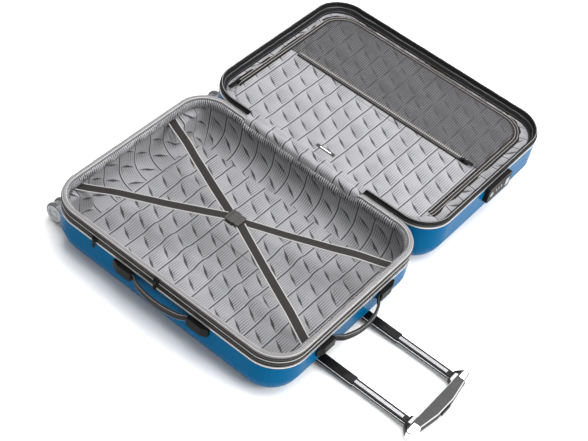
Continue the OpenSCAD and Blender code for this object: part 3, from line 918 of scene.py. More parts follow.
def row_of_parts(name, line, pitch, size, material, up=(0, 0, 1), closed=False, rounded=False):
    """One mesh of small parts along a line of points. The pitch and the sizes are in millimetres."""
    edges = [(i, i + 1) for i in range(len(line) - 1)]
    if closed:
        edges.append((len(line) - 1, 0))
    rail = bpy.data.meshes.new(name + "_rail")
    rail.from_pydata([tuple(p) for p in line], edges, [])
    holder = add_object(name + "_rail", rail)
    modifier = holder.modifiers.new("row", "NODES")
    modifier.node_group = row_tree
    for label, value in (
        ("Pitch", pitch * MM), ("Part Size", [side * MM for side in size]), ("Up", up),
        ("Round Ends", rounded), ("Finish", material),
    ):
        modifier[row_inputs[label]] = value
    bpy.context.view_layer.update()
    solid = as_built(holder)
    holder.modifiers.remove(modifier)
    bpy.data.objects.remove(holder)
    solid.name = name
    print(name, "has", len(solid.polygons), "faces")
    return add_object(name, solid)


def join(name, *objects):
    """Several meshes of one body and slot made into one piece."""
    shape = bmesh.new()
    slots = []
    for obj in objects:
        slots += [material for material in obj.data.materials if material not in slots]
        moved = [slots.index(material) for material in obj.data.materials]
        start = len(shape.faces)
        shape.from_mesh(obj.data)
        shape.faces.ensure_lookup_table()
        for face in shape.faces[start:]:
            face.material_index = moved[face.material_index]
    mesh = bpy.data.meshes.new(name)
    shape.to_mesh(mesh)
    shape.free()
    for material in slots:
        mesh.materials.append(material)
    for obj in objects:
        bpy.data.objects.remove(obj)
    return add_object(name, mesh)


print("row tree has", len(row_tree.nodes), "nodes")

# %% [markdown]
# ## Zip bands
# Round each rim runs a woven tape with a nylon coil: the main zip. The base has a second one below
# it, which lets the case grow, with a thin pale cord between the two. Each coil is a row of small
# teeth on a core, and stands 1 to 2 mm proud of the tape.

# %% Zip teeth and cords round the rims
COIL_CORE = [(0.3, -1.2), (0.3, 1.2), (1.6, 1.9), (1.6, -1.9)]
TOOTH, TOOTH_PITCH, TOOTH_INSET = (1.25, 1.5, 3.7), 2.1, 0.45


def coil(name, z, middle_y):
    profile = [(inset * MM, z + rise * MM) for inset, rise in COIL_CORE]
    core = turn_out(swept_rim(name + "_core", profile, teeth_dark, middle_y))
    line = [(x, y, z) for x, y in case_loop(TOOTH_INSET * MM, middle_y)[0]]
    teeth = row_of_parts(name + "_teeth", line, TOOTH_PITCH, TOOTH, teeth_dark, closed=True)
    return join(name, core, teeth)


main_coil = coil("base_main_coil", COIL_Z, 0.0)
wide_coil = coil("base_wide_coil", WIDE_COIL_Z, 0.0)
lid_coil = coil("lid_main_coil", COIL_Z, LID_Y)
place_piece(join("base_coils", main_coil, wide_coil), "base", "zip_black", "base_zip_coils")
place_piece(lid_coil, "lid", "zip_black", "lid_zip_coil")


def cord_round(name, inset, z, radius, material, middle_y, body, slot):
    """A round cord laid round the rim, its inset, height and radius in millimetres."""
    profile = [
        ((inset + radius * math.cos(a)) * MM, z + radius * MM * math.sin(a))
        for a in (math.radians(45 * turn) for turn in range(8))
    ]
    place_piece(turn_out(swept_rim(name, profile, material, middle_y, sharp=80)), body, slot)


CORD_Z = 121.5 * MM
cord_round("base_pale_cord", 1.2, CORD_Z, 1.2, pale_cord, 0.0, "base", "lining_grey")
for body, top, middle in (("base", SHELL_TOP, 0.0), ("lid", LID_TOP, LID_Y)):
    cord_round(
        body + "_edge_trim", 0.6, top - 1.4 * MM, 1.1, plastic_black, middle, body, "plastic_black"
    )

# %% [markdown]
# ## Rim bindings
# The raw edge of the lining and the zip tape are sewn into a rolled tape that covers the rim: wide
# grey satin on the base, and narrow black tape on the lid. It isn't even: it swells between
# stitches. On the hinge side, it ducks under the cloth that joins the two halves.

# %% Bindings
FLAP_LEFT, FLAP_RIGHT = FABRIC_LOW.x, FABRIC_HIGH.x


def smooth(t):
    t = min(max(t, 0.0), 1.0)
    return t * t * (3 - 2 * t)


FLAP_DUCK = 5.2 * MM


def under_flap(x, y):
    """1 where the hinge cloth crosses this rim, smooth over 20 mm, and 0 elsewhere."""
    inside = smooth((x - FLAP_LEFT + 0.004) / 0.02) * smooth((FLAP_RIGHT + 0.004 - x) / 0.02)
    return inside if abs(y - HINGE_Y) < 0.03 else 0.0


def binding_shape(x, y, z, length):
    ripple = rumple(x * 55, y * 55, z * 20) * 0.9 * MM
    gather = math.sin(length * 2 * math.pi / 0.0125) * 0.22 * MM
    sink = -FLAP_DUCK * under_flap(x, y) * smooth((z - 0.127) / 0.010)
    lift = (ripple * 0.5 + gather) * smooth((z - 0.133) / 0.004)
    return ripple * 0.5 * smooth((z - 0.134) / 0.003), min(lift, 0.0) + sink


BINDING_PROFILE = [
    (1.2, 133.4), (0.9, 135.0), (1.3, 137.2), (2.7, 138.9), (4.8, 139.8), (7.2, 139.9), (9.4, 139.1),
    (11.2, 137.3), (12.2, 134.8), (12.3, 132.0), (11.6, 129.5), (10.2, 128.0), (8.8, 127.6),
    (8.0, 129.0), (6.0, 132.0), (3.0, 133.0),
]
LID_BINDING_PROFILE = [
    (1.2, 133.4), (0.9, 135.0), (1.2, 137.2), (2.2, 138.9), (3.8, 139.8), (5.4, 139.7), (6.8, 138.6),
    (7.4, 136.6), (7.4, 134.6), (6.6, 133.2), (5.2, 132.6), (3.0, 133.0),
]
for body, middle, cover, profile, slot, seam, seam_z, thread in (
    ("base", 0.0, binding, BINDING_PROFILE, "lining_grey", 11.5, 0.1366, stitch_thread),
    ("lid", LID_Y, lid_binding, LID_BINDING_PROFILE, "zip_black", 6.9, 0.1380, teeth_dark),
):
    metres = [(inset * MM, z * MM) for inset, z in profile]
    roll = swept_rim(body + "_binding_roll", metres, cover, middle, binding_shape, sharp=80)
    place_piece(turn_out(roll), body, slot, body + "_binding")
    seam_line = [
        (x, y, seam_z - FLAP_DUCK * under_flap(x, y)) for x, y in case_loop(seam * MM, middle)[0]
    ]
    stitches = row_of_parts(
        body + "_binding_stitches", seam_line, 4.6, (3.1, 0.7, 0.7), thread, closed=True, rounded=True
    )
    place_piece(stitches, body, slot)

# %% [markdown]
# ## The base lining
# A cloth tray hangs inside the base shell. Its walls gather into soft upright folds, it bulges over
# the caster pockets and the trolley block, and its floor rises over the two trolley tubes. It is
# lofted from rim loops, with folds from smooth noise so that each run gives the same cloth.

# %% Base lining
WALL_TOP, FLOOR_Z = 131.0 * MM, 31.6 * MM
TRAY_INSET, BACK_R, BACK_RISE = 8.4 * MM, 25 * MM, 70 * MM


def tray_profile(floor_z):
    """(inset, height) from the top of the wall to the floor's edge."""
    wall = [(TRAY_INSET, WALL_TOP + (BACK_RISE - WALL_TOP) * t / 14) for t in range(14)]
    full = CORNER - TRAY_INSET
    for i in range(15):
        a = math.radians(90 - 90 * i / 14)
        radius = BACK_R + (full - BACK_R) * math.sin(a)
        wall.append((CORNER - radius, BACK_RISE - (BACK_RISE - floor_z) * math.cos(a)))
    return wall


def fold(x, y, z, length):
    """How far the wall cloth stands in from the shell."""
    drift = rumple(x * 9, y * 9, z * 6)
    pleat = rumple(length * 60, z * 7, 3.1)
    crease = abs(rumple(length * 18, z * 16, 8.7))
    gather = rumple(length * 150, z * 12, 6.6) * smooth((z - 0.085) / 0.03)
    return (1.2 + drift * 1.4 + max(pleat, 0) * 3.6 + gather * 1.6 + (0.35 - crease) * 2.4) * MM


# What the cloth is pushed in by, in metres: the caster pockets and the trolley block.
POCKET_X, POCKET_Y, POCKET_Z, POCKET_REACH = -0.2805, 0.18, 0.048, 0.064
BLOCK_X, BLOCK_Y, BLOCK_TOP = 0.266, 0.142, 0.046
TUBE_Y, TUBE_REACH, TUBE_RISE = 0.076, 0.024, 5.5 * MM


def tray_point(x, y, z, ox=0.0, oy=0.0, length=0.0, depth=0.0):
    push = fold(x, y, z, length) * smooth(depth / 0.03)
    x, y = x - ox * push, y - oy * push
    for side in (-1, 1):
        reach = math.hypot(y - side * POCKET_Y, z - POCKET_Z)
        inward = smooth((POCKET_REACH - reach) / 0.012)
        x = max(x, x + (POCKET_X - x) * inward)
    if x > BLOCK_X + 0.002 and abs(y) < BLOCK_Y + 0.008:
        top = BLOCK_TOP * smooth((x - BLOCK_X) / 0.012) * smooth((BLOCK_Y - abs(y)) / 0.014)
        z = max(z, top)
    return x, y, z


def floor_lift(x, y):
    near = sum(smooth((TUBE_REACH - abs(y - side * TUBE_Y)) / 0.018) for side in (-1, 1))
    ridge = near * TUBE_RISE
    ridge *= smooth((x + 0.285) / 0.03)
    slack = noise.fractal(Vector((x * 11, y * 11, 0.4)), 0.9, 2.0, 3) * 2.2 * MM
    crease = (0.30 - abs(rumple(x * 13 + y * 5, y * 17, 2.2))) * 3.0 * MM
    return ridge + slack + max(crease, 0)


def base_tray():
    profile = tray_profile(FLOOR_Z)
    lengths, depths = RIM_LENGTHS[1], running_lengths(profile)
    rings = []
    for (inset, z), depth in zip(profile, depths):
        rings.append([
            tray_point(x, y, z, ox, oy, length, depth)
            for (x, y), (ox, oy), length in zip(*case_loop(inset), lengths)
        ])
    wall_rings = len(rings)
    edge_x, edge_y = HALF_L - profile[-1][0], HALF_W - profile[-1][0]
    for k in range(1, 45):
        t = k / 44
        points, _ = rim_loop(edge_x + (0.072 - edge_x) * t, edge_y * (1 - t) + 1e-4, BACK_R * (1 - t))
        rings.append([
            tray_point(x, y, FLOOR_Z + floor_lift(x, y) * smooth(k / 4)) for x, y in points
        ])

    def maps(strip, k, i):
        if strip < wall_rings - 1:
            return lengths[i], depths[min(k, wall_rings - 1)]
        return rings[k][i % LOOP][:2]

    return loft("base_lining_tray", rings, lining, maps, merge=1e-4, sharp=70)


place_piece(thicken(base_tray(), 0.8 * MM), "base", "lining_grey", "base_lining")

# %% [markdown]
# ## The gathered frill
# Where the lining meets the binding it is drawn up on a thread, so a narrow frill of tight gathers
# stands in from the rim all the way round. Its ripples are only 5 mm apart, so its loops have four
# times as many points as the rest of the lining.

# %% Frill
FRILL_PROFILE = [
    (9.0, 130.0), (11.5, 133.2), (14.0, 133.4), (16.5, 131.2), (18.3, 127.0), (18.6, 121.5),
    (17.0, 116.0), (14.0, 111.5), (10.5, 109.0),
]


def frill():
    rings = []
    for k, (inset, z) in enumerate(FRILL_PROFILE):
        free = math.sin(math.pi * k / (len(FRILL_PROFILE) - 1)) * MM

        def gathers(x, y, z, length):
            drift = rumple(x * 30, y * 30, k * 0.3)
            ripple = math.sin((length + drift * 0.004) * 2 * math.pi / GATHER_PITCH)
            slack = rumple(x * 14, y * 14, 5.0) * 2.6
            sink = 9 * MM * under_flap(x, y)
            return -(ripple * 0.9 + slack - 1.0) * free, (ripple * 0.5 + slack * 0.4) * free - sink

        rings.append(bent_loop(inset * MM, z * MM, gathers, fine=4))
    return loft(
        "frill", rings, frill_cloth, lambda strip, k, i: (RIM_LENGTHS[4][i], k * 4.5 * MM), sharp=80
    )


place_piece(thicken(frill(), 0.6 * MM), "base", "lining_grey")

# %% [markdown]
# ## Cross straps
# Two elastic straps run from each end of the base to a buckle in the middle. Webbing is a flat woven
# band with paler selvedges. Each strap is a ribbon carried along its own line, with a slight sag,
# because the webbing is held only at its ends.

# %% Straps
STRAP_CROWN = [(-11, 1.0), (-9.5, 1.2), (0, 1.15), (9.5, 1.2), (11, 1.0)]
STRAP_THICK, STRAP_SAG, STRAP_STEPS = 1.7 * MM, 4.5 * MM, 60
STRAP_TOP = STRAP_Z - 1.0 * MM
WALL_Z = STRAP_TOP - 9 * MM


def strap_run(name, start, end, end_z):
    """A ribbon from start to end, with its width level and a slight sag."""
    a, b = Vector((*start, 0)), Vector((*end, 0))
    along = (b - a).normalized()
    side = Vector((-along.y, along.x, 0))
    section = [(v * MM, -w * STRAP_THICK / 2) for v, w in STRAP_CROWN]
    section += [(v, -w) for v, w in reversed(section)]
    rings = []
    for i in range(STRAP_STEPS + 1):
        t = i / STRAP_STEPS
        bow = math.sin(math.pi * t)
        z = WALL_Z + (end_z - WALL_Z) * smooth(t * 3.2) - STRAP_SAG * bow
        z += rumple(t * 5, start[1] * 9, 1.7) * 1.2 * MM * bow
        roll = 0.05 * math.sin(math.pi * 2 * t + start[1] * 20)
        centre = a.lerp(b, t) + Vector((0, 0, z))
        rings.append([
            tuple(centre + side * v * math.cos(roll) + Vector((0, 0, w + v * math.sin(roll))))
            for v, w in section
        ])
    step = (b - a).length / STRAP_STEPS
    made = loft(
        name, rings, webbing, lambda strip, k, i: (k * step, section[i % len(section)][0]), sharp=35
    )
    return cap_ends(made, len(section), len(rings))


BUCKLE_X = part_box("buckle_female")[0].x + 1 * MM
TONGUE_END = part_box("buckle_male")[1].x
STRAP_END, BUCKLE_SPREAD = 0.2985, 5 * MM


def strap_pair(name, wall_x, buckle_x, far_y, near_y):
    far = strap_run("far", (wall_x, far_y), (buckle_x, BUCKLE_SPREAD), STRAP_TOP)
    near = strap_run("near", (wall_x, near_y), (buckle_x, -BUCKLE_SPREAD), STRAP_TOP + 0.4 * MM)
    return join(name, far, near)


left = strap_pair("straps_left_webbing", -STRAP_END, BUCKLE_X, 0.1265, -0.1620)
place_piece(left, "base", "webbing", "straps_left")
right_straps = strap_pair("straps_right_webbing", STRAP_END, TONGUE_END - 1 * MM, 0.1465, -0.1405)
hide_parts("straps_right")
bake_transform(right_straps)
print(right_straps.name, "stretches from the base to the buckle's tongue")

# %% [markdown]
# ## Strap anchors
# Each strap ends in a doubled tab sewn flat to the lining wall with a boxed row of stitches.

# %% Anchor tabs
TAB_X, TAB_Z = 0.3008, 0.1165
TAB_LAYERS = [
    (15.0, 6.6, 0.9), (15.5, 7.0, 0.5), (15.5, 7.0, -0.8), (14.0, 6.0, -1.3), (6.0, 2.5, -1.5)
]
TAB_OUTLINE = [(-1, -0.7), (-0.8, -1), (0.8, -1), (1, -0.7), (1, 0.7), (0.8, 1), (-0.8, 1), (-1, 0.7)]
tabs = []
for side, y in ((-1, -0.152), (-1, 0.130), (1, 0.148), (1, -0.142)):
    x = side * TAB_X
    rings = [
        [
            (x + side * out * MM, y + a * half_y * MM, TAB_Z + b * half_z * MM)
            for a, b in TAB_OUTLINE
        ]
        for half_y, half_z, out in TAB_LAYERS
    ]
    tab = loft("tab", rings, webbing, lambda strip, k, i: (rings[k][i % 8][2], 0.0))
    tabs.append(cap_ends(tab, len(TAB_OUTLINE), len(rings)))
    box_line = [
        (x - side * 1.6 * MM, y + a * 0.012, TAB_Z + b * 0.0045)
        for a, b in ((-1, -1), (1, -1), (1, 1), (-1, 1))
    ]
    tabs.append(row_of_parts(
        "tab_stitches", box_line, 2.6, (1.8, 0.6, 0.5), stitch_thread, (1, 0, 0), True, True
    ))
place_piece(join("strap_anchor_tabs", *tabs), "base", "webbing", "strap_anchors")

# %% [markdown]
# ## Carry handles
# Each carry handle is a springy strip with a rubber skin. Its ends slide in the end plates, it bows
# out between them, and a pale bead runs along both edges. The CAD strip gives the room that it moves
# in; here it gets its rounded section, its beads and a slightly thicker middle.

# %% Handle grips
HALF_SECTION = [
    (-1, -0.62), (-0.80, -0.86), (-0.30, -0.93), (0.30, -0.93), (0.80, -0.86), (1, -0.62), (1, -0.30),
    (1, 0.0), (1, 0.30),
]
SECTION = HALF_SECTION + [(-w, -v) for w, v in HALF_SECTION]
GRIP_REACH, GRIP_HEIGHT, GRIP_FOOT = 5.4 * MM, 19 * MM, 1.5 * MM
TAB_OUT, TAB_HIDDEN, TAB_SHOWN = 3.9 * MM, 30 * MM, 6 * MM


def handle_path(half, sag):
    """The strip's middle line: straight tabs in the end plates, and an arc that bows out by sag."""
    radius = (half * half + sag * sag) / (2 * sag)
    arc = [
        (x, GRIP_REACH + sag - radius + math.sqrt(radius ** 2 - x ** 2))
        for x in (-half + 2 * half * i / 96 for i in range(9, 88))
    ]
    tab = [(-half - TAB_HIDDEN + (TAB_HIDDEN + TAB_SHOWN) * i / 18, TAB_OUT) for i in range(19)]
    return eased(tab + arc + [(-x, y) for x, y in reversed(tab)], 3)


def handle_grip(name, half, sag, to_world, body, node):
    path = handle_path(half, sag)
    rings, lengths = [], running_lengths(path)
    for i, (x, y) in enumerate(path):
        before, after = path[max(i - 1, 0)], path[min(i + 1, len(path) - 1)]
        tangent = Vector((after[0] - before[0], after[1] - before[1], 0)).normalized()
        out = Vector((-tangent.y, tangent.x, 0))
        free = smooth((half - abs(x)) / 0.03)
        thick, bead = (1.25 + 1.1 * free) * MM, 0.65 * MM * free
        point = Vector((x, y, GRIP_HEIGHT / 2 + GRIP_FOOT))
        ring = []
        for w, v in SECTION:
            swell = bead if abs(v) in (0.62, 0.86) else 0.0
            rise = Vector((0, 0, v * GRIP_HEIGHT / 2))
            ring.append(tuple(to_world(point + out * w * (thick + swell) + rise)))
        rings.append(ring)
    made = loft(
        name, rings, handle_rubber,
        lambda strip, k, i: (lengths[k], SECTION[i % len(SECTION)][1] * GRIP_HEIGHT / 2), sharp=60,
    )
    return place_piece(cap_ends(made, len(SECTION), len(rings)), body, "soft_grip", node)


SIDE_HANDLE_X = middle_of("side_handle_plates").x
HANDLE_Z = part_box("side_handle_plates")[0].z
handle_grip(
    "side_grip_skin", 0.074, 0.015,
    lambda p: Vector((SIDE_HANDLE_X - p.x, -HALF_W - p.y, HANDLE_Z + p.z)),
    "side_handle", "side_handle_grip",
)
handle_grip(
    "end_grip_skin", 0.076, 0.025, lambda p: Vector((HALF_L + p.y, -p.x, HANDLE_Z + p.z)),
    "end_handle", "end_handle_grip",
)

# %% [markdown]
# ## The trolley's ladder strips
# A ribbed strip is let into the top of each inner tube, and a bright line runs along the grip between
# its corner caps.

# %% Ladder strips and grip line
strip_low, strip_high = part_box("inner_strips")
ladders = []
STRIP_HALF, BED_THICK, RIB = 3.9 * MM, 0.25 * MM, (2.3, 7.4, 0.5)
for y in (-LEG_Y, LEG_Y):
    corners = [
        (strip_low.x, y - STRIP_HALF), (strip_high.x, y - STRIP_HALF),
        (strip_high.x, y + STRIP_HALF), (strip_low.x, y + STRIP_HALF),
    ]
    rings = [[(*corner, z) for corner in corners] for z in (strip_low.z, strip_low.z + BED_THICK)]
    ladders.append(cap_ends(loft("bed", rings, plastic_black), 4, 2))
    rib_z = strip_high.z - 0.28 * MM
    line = [(strip_low.x + 1 * MM, y, rib_z), (strip_high.x - 1 * MM, y, rib_z)]
    ladders.append(row_of_parts("ribs", line, 3.0, RIB, lock_metal))
place_piece(join("inner_ladder_strips", *ladders), "trolley_inner", "metal_silver", "inner_strips")

# %% Bright line along the grip
LINE_HALF, LINE_STEPS = 0.0785, 60
LINE_IN, LINE_Z = 3.4 * MM, (GRIP_LOW.z + GRIP_HIGH.z) / 2 + 9.7 * MM
GRIP_FLAT, GRIP_SLOPE, GRIP_SWEEP = 0.025, 0.071, 11 * MM
line_rings = []
for i in range(LINE_STEPS + 1):
    y = -LINE_HALF + 2 * LINE_HALF * i / LINE_STEPS
    # The grip's outer edge has a flat middle, and straight runs in to the ends.
    x = GRIP_HIGH.x - LINE_IN - GRIP_SWEEP * max((abs(y) - GRIP_FLAT) / GRIP_SLOPE, 0.0)
    line_rings.append([
        (x + math.cos(a) * 0.9 * MM, y, LINE_Z + math.sin(a) * 0.8 * MM)
        for a in (math.radians(45 * turn) for turn in range(8))
    ])
grip_line = loft("grip_line", line_rings, chrome, sharp=80)
place_piece(cap_ends(grip_line, 8, len(line_rings)), "trolley_inner", "chrome")

# %% [markdown]
# ## The cloth between the halves
# The lining carries on from one half to the other over the hinge side, as one soft flap. In the real
# case it bends as the lid turns through half a circle; here it is one fixed mesh in the open pose, held
# to neither body, and it stays just under the height of the hinge line so that the halves can close
# face to face.

# %% Hinge flap
def hinge_flap():
    base_edge, lid_edge = HALF_W, LID_Y - HALF_W
    profile = [
        (base_edge - 13.2 * MM, 112), (base_edge - 13.0 * MM, 122), (base_edge - 12.4 * MM, 130),
        (base_edge - 10.0 * MM, 136.2), (base_edge - 6.0 * MM, 138.6), (base_edge - 1.5 * MM, 138.9),
        (base_edge + 2.0 * MM, 137.6), (HINGE_Y, 136.6), (lid_edge - 2.0 * MM, 137.6),
        (lid_edge + 1.5 * MM, 138.9), (lid_edge + 6.0 * MM, 138.8), (lid_edge + 11.0 * MM, 134.0),
        (lid_edge + 15.0 * MM, 127.0), (lid_edge + 19.0 * MM, 120.0), (lid_edge + 24.0 * MM, 116.2),
    ]
    fine = []
    for (ya, za), (yb, zb) in zip(profile, profile[1:]):
        for i in range(4):
            t = i / 4
            fine.append((ya + (yb - ya) * t, za + (zb - za) * t))
    fine.append(profile[-1])
    fine = eased(fine, 4)
    count = 108
    rings = []
    for k, (y, z) in enumerate(fine):
        ring = []
        for i in range(count + 1):
            t = i / count
            x = FLAP_LEFT + 0.003 + (FLAP_RIGHT - FLAP_LEFT - 0.006) * t
            crease = rumple(x * 42, y * 60, 5.5) * 1.5
            wave = rumple(x * 16, y * 22, 9.5) * 1.8
            edge = smooth(min(t, 1 - t) / 0.05)
            high = min(z + (crease + wave) * edge - 0.8 * (1 - edge), 139.4)
            ring.append((x, y, high * MM))
        rings.append(ring)
    lengths = running_lengths([(y, z * MM) for y, z in fine])
    made = loft(
        "hinge_flap", rings, lining, lambda strip, k, i: (rings[0][i][0], lengths[k]), False, sharp=80
    )
    return made, lengths[-2]


flap, flap_width = hinge_flap()
thicken(flap, 0.7 * MM, 1)
solid_flap = as_built(flap)
flap.modifiers.clear()
flap.data = solid_flap
turn_out(flap)
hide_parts("hinge_fabric")
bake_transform(flap)
print("hinge flap is", round(flap_width * 1000), "mm across")

# %% [markdown]
# ## The lid's lining and divider
# Inside the lid's rim a black skirt slopes down to a sunk border of lining, and the divider panel
# zips to that border round three sides. The panel is slack cloth, so it lies in soft waves.

# %% Lid skirt and border
SKIRT_FOOT, SKIRT_TOP = 17.0 * MM, 134.5 * MM


def lid_skirt():
    """Black cloth that slopes from under the rim tape down to the divider, gathered along its top."""
    rings = []
    for k in range(11):
        t = k / 10

        def gathers(x, y, z, length):
            gather = rumple(length * 120, t * 1.5, 2.7) * 1.5
            slack = rumple(length * 28, t * 3, 5.1) * 2.0
            return -(gather * (1 - t * 0.6) + slack) * math.sin(math.pi * t) * MM, 0.0

        z = PANEL_TOP + 0.6 * MM + (SKIRT_TOP - PANEL_TOP) * (1 - t)
        rings.append(bent_loop((6.6 + 10.4 * smooth(t) ** 0.9) * MM, z, gathers, LID_Y))
    return loft(
        "lid_skirt_cloth", rings, skirt_cloth, lambda strip, k, i: (RIM_LENGTHS[1][i], k * 2.6 * MM),
        sharp=80,
    )


place_piece(thicken(lid_skirt(), 0.6 * MM), "lid", "zip_black", "lid_skirt")


def lid_border():
    """The narrow ring of lining between the skirt's foot and the divider."""
    lower, _ = case_loop(SKIRT_FOOT - 0.8 * MM, LID_Y)
    inner = panel_loop(0.5 * MM)
    rings = []
    for k in range(9):
        t = k / 8
        ring = []
        for (x0, y0), (x1, y1), length in zip(lower, inner, RIM_LENGTHS[1]):
            pucker = rumple(length * 30, t * 2, 4.4) * 1.2 * MM * math.sin(math.pi * t)
            z = PANEL_TOP + (0.8 * (1 - t) + 0.2) * MM + pucker
            ring.append((x0 + (x1 - x0) * t, y0 + (y1 - y0) * t, z))
        rings.append(ring)
    return loft(
        "lid_border", rings, lining, lambda strip, k, i: (RIM_LENGTHS[1][i], k * 3.0 * MM), sharp=70
    )


place_piece(thicken(lid_border(), 0.8 * MM), "lid", "lining_grey", "lid_lining")

# %% Divider panel
ZIP_Y = middle_of("mesh_zip").y


def panel_height(x, y):
    """How far the slack panel hangs below its seams: 0 at the seams, the tag and the pocket's zip."""
    edge = min(PANEL_HX - abs(x - PANEL_X), PANEL_HY - abs(y - PANEL_Y))
    free = smooth((edge - 0.004) / 0.035)
    free *= 1 - smooth((0.038 - abs(x - TAG_X)) / 0.014) * smooth((0.018 - abs(y - TAG_Y)) / 0.012)
    free *= smooth((abs(y - ZIP_Y) - 0.006) / 0.02)
    wave = rumple(x * 7, y * 9, 1.2) * 2.4
    crease = (0.30 - abs(rumple(x * 10 + y * 4, y * 14, 6.2))) * 3.4
    fine = rumple(x * 38, y * 38, 3.3) * 0.6
    return (min(wave + crease + fine, 1.8) - 2.2) * free * MM


def panel_sheet():
    rings = []
    for k in range(46):
        points = panel_loop(0.0, 1 - k / 45)
        rings.append([(x, y, PANEL_TOP - 0.9 * MM + panel_height(x, y)) for x, y in points])
    return loft(
        "divider_cloth", rings, lining, lambda strip, k, i: rings[k][i % LOOP][:2], merge=1e-4, sharp=80
    )


panel = thicken(panel_sheet(), 0.9 * MM)
place_piece(panel, "lid", "lining_grey", "divider_panel")

# %% [markdown]
# ## Zips on the divider
# Each zip is two tapes with a row of teeth between them, and the divider's has a pale welt along the
# inside of each tape. The tapes are narrow strips laid along a line on the panel.

# %% Zips on the divider
ZIP_TOP = PANEL_TOP + 0.1 * MM
WELT = [(-0.5, 0.0), (-0.4, 0.75), (0.0, 1.0), (0.4, 0.75), (0.5, 0.0)]


def laid_strip(name, points, section, material):
    """A solid strip with this cross-section of (side, height), laid along points on the panel."""
    rings = []
    for i, p in enumerate(points):
        before, after = points[max(i - 1, 0)], points[min(i + 1, len(points) - 1)]
        along = (after - before).normalized()
        side = Vector((-along.y, along.x, 0))
        rings.append([tuple(p + side * v * MM + Vector((0, 0, ZIP_TOP + w * MM))) for v, w in section])
    reach = running_lengths([tuple(p) for p in points])
    strip = loft(
        name, rings, material,
        lambda strip, k, i: (reach[k], section[i % len(section)][0] * MM), sharp=50,
    )
    return cap_ends(strip, len(section), len(rings))


def flat_zip(name, line, half_width, welt_at):
    """Two tapes, pale welts along them, and a row of teeth between them. Widths in millimetres."""
    points = [Vector((x, y, 0)) for x, y in line]
    h = half_width
    tape = [
        (-h, 0.0), (-h, 0.45), (-1.9, 0.75), (-1.2, 0.35), (1.2, 0.35), (1.9, 0.75), (h, 0.45), (h, 0.0)
    ]
    pieces = [laid_strip(name + "_tape", points, tape, zip_tape)]
    for at in welt_at:
        welt = [(at + v, 0.3 + w * 0.9) for v, w in WELT]
        pieces.append(laid_strip(name + "_welt", points, welt, pale_cord))
    core = [(-1.5, 0.2), (-1.3, 0.9), (1.3, 0.9), (1.5, 0.2)]
    pieces.append(laid_strip(name + "_core", points, core, teeth_dark))
    tooth_line = [(p.x, p.y, ZIP_TOP + 1.2 * MM) for p in points]
    pieces.append(row_of_parts(name + "_teeth", tooth_line, 2.3, (1.15, 3.2, 1.1), teeth_dark))
    return join(name, *pieces)


def divider_line():
    """The panel's outline from the near end of its left side round to that of its right side."""
    points = panel_loop(0.5 * MM)
    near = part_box("divider_zip")[0].y
    start = next(i for i in range(SIDE_X, LOOP) if points[i][1] >= near)
    chosen = []
    for step in range(LOOP):
        p = points[(start + step) % LOOP]
        if p[1] < near:
            break
        chosen.append(p)
    return chosen


DIVIDER_ZIP_HALF, MESH_ZIP_HALF, SEAM_OFF = 9.6, 4.6, 8.6 * MM
divider_zip = flat_zip("divider_zip_teeth", divider_line(), DIVIDER_ZIP_HALF, (-3.4, 3.4))
place_piece(divider_zip, "lid", "zip_black", "divider_zip")
zip_low, zip_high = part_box("mesh_zip")
mesh_line = [(zip_low.x + (zip_high.x - zip_low.x) * i / 60, ZIP_Y) for i in range(61)]
mesh_zip = flat_zip("mesh_zip_teeth", mesh_line, MESH_ZIP_HALF, (0.9,))
place_piece(mesh_zip, "lid", "zip_black", "mesh_zip")
seam = laid_strip(
    "mesh_zip_seam", [Vector((x, y + SEAM_OFF, 0)) for x, y in mesh_line],
    [(-3.4, 0.0), (-3.4, 0.9), (0.0, 1.1), (3.4, 0.9), (3.4, 0.0)], pale_cord,
)
place_piece(seam, "lid", "mesh_dark")

# %% [markdown]
# ## Mesh pocket
# The far part of the divider is covered by a knitted mesh that is tight at its edges and puffs up a
# little between them. Its holes come from the material's alpha, since real ones would be thousands.

# %% Mesh pocket
POCKET_NEAR, POCKET_CORNER, POCKET_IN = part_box("mesh_pocket")[0].y - 2 * MM, 54 * MM, 7 * MM


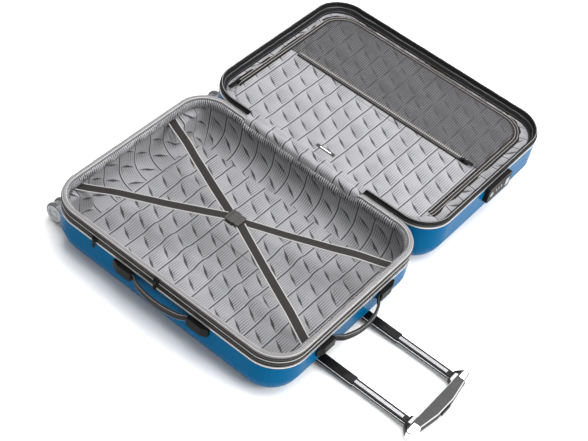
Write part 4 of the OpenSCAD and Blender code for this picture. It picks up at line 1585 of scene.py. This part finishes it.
def pocket_sheet():
    columns, rows = 110, 50
    near, far = POCKET_NEAR, PANEL_Y + PANEL_HY - POCKET_IN
    half = PANEL_HX - POCKET_IN
    rings = []
    for j in range(rows + 1):
        y = near + (far - near) * (1 - (1 - j / rows) ** 1.6)
        over = min(max((y - (far - POCKET_CORNER)) / POCKET_CORNER, 0.0), 1.0)
        width = half - POCKET_CORNER * (1 - math.sqrt(1 - over * over))
        ring = []
        for i in range(columns + 1):
            x = PANEL_X + width * (-1 + 2 * i / columns)
            edge = min(width - abs(x - PANEL_X), far - y, y - near)
            ripple = rumple(x * 12, y * 12, 7.7) * 1.2 + rumple(x * 40, y * 9, 1.7) * 0.5
            ring.append((x, y, PANEL_TOP + (0.9 + smooth(edge / 0.03) * (2.6 + ripple)) * MM))
        rings.append(ring)
    made = loft(
        "mesh_pocket_cloth", rings, mesh_cloth, lambda strip, k, i: rings[k][i][:2], False, sharp=80
    )
    return made, (2 * half, far - near)


pocket, pocket_flat = pocket_sheet()
thicken(pocket, 0.3 * MM, 1)
place_piece(pocket, "lid", "mesh_dark", "mesh_pocket")

# %% [markdown]
# ## Floor and light
# A plain pale floor and large soft lights, as in a studio: a broad one above, a weaker one from the
# right, and a low one behind to draw a line along the far rims.

# %% Stage
def area_light(name, at, aim, size, power):
    data = bpy.data.lights.new(name, "AREA")
    data.shape = "RECTANGLE"
    data.size, data.size_y = size
    data.energy = power
    light = add_object(name, data)
    light.location = at
    light.rotation_mode = "QUATERNION"
    light.rotation_quaternion = (Vector(aim) - Vector(at)).to_track_quat("-Z", "Y")


def paint_floor(place, cloth):
    return {"Base Color": place.noise(1.5, 2).tint(grey(0.90), grey(0.93))}


def make_floor(half=30):
    mesh = bpy.data.meshes.new("floor")
    corners = [(-half, -half, 0), (half, -half, 0), (half, half, 0), (-half, half, 0)]
    mesh.from_pydata(corners, [], [(0, 1, 2, 3)])
    mesh.materials.append(finish("pale_floor", paint_floor, Roughness=0.6))
    made = add_object("floor", mesh)
    made.location.z = -0.2 * MM
    return made


make_floor()
world = bpy.data.worlds.new("studio")
bpy.context.scene.world = world
world.use_nodes = True
sky = world.node_tree.nodes["Background"].inputs
sky["Color"].default_value = grey(1.0)
sky["Strength"].default_value = 0.55
area_light("top_light", (0.2, 0.5, 2.4), (0.0, 0.25, 0.0), (2.6, 2.6), 120)
area_light("right_light", (2.4, 0.2, 1.7), (0.2, 0.2, 0.1), (1.6, 1.2), 60)
area_light("back_light", (-0.6, 2.6, 1.4), (0.0, 0.3, 0.1), (2.2, 0.8), 16)
bpy.context.scene.view_settings.view_transform = "Standard"
print("lights placed")
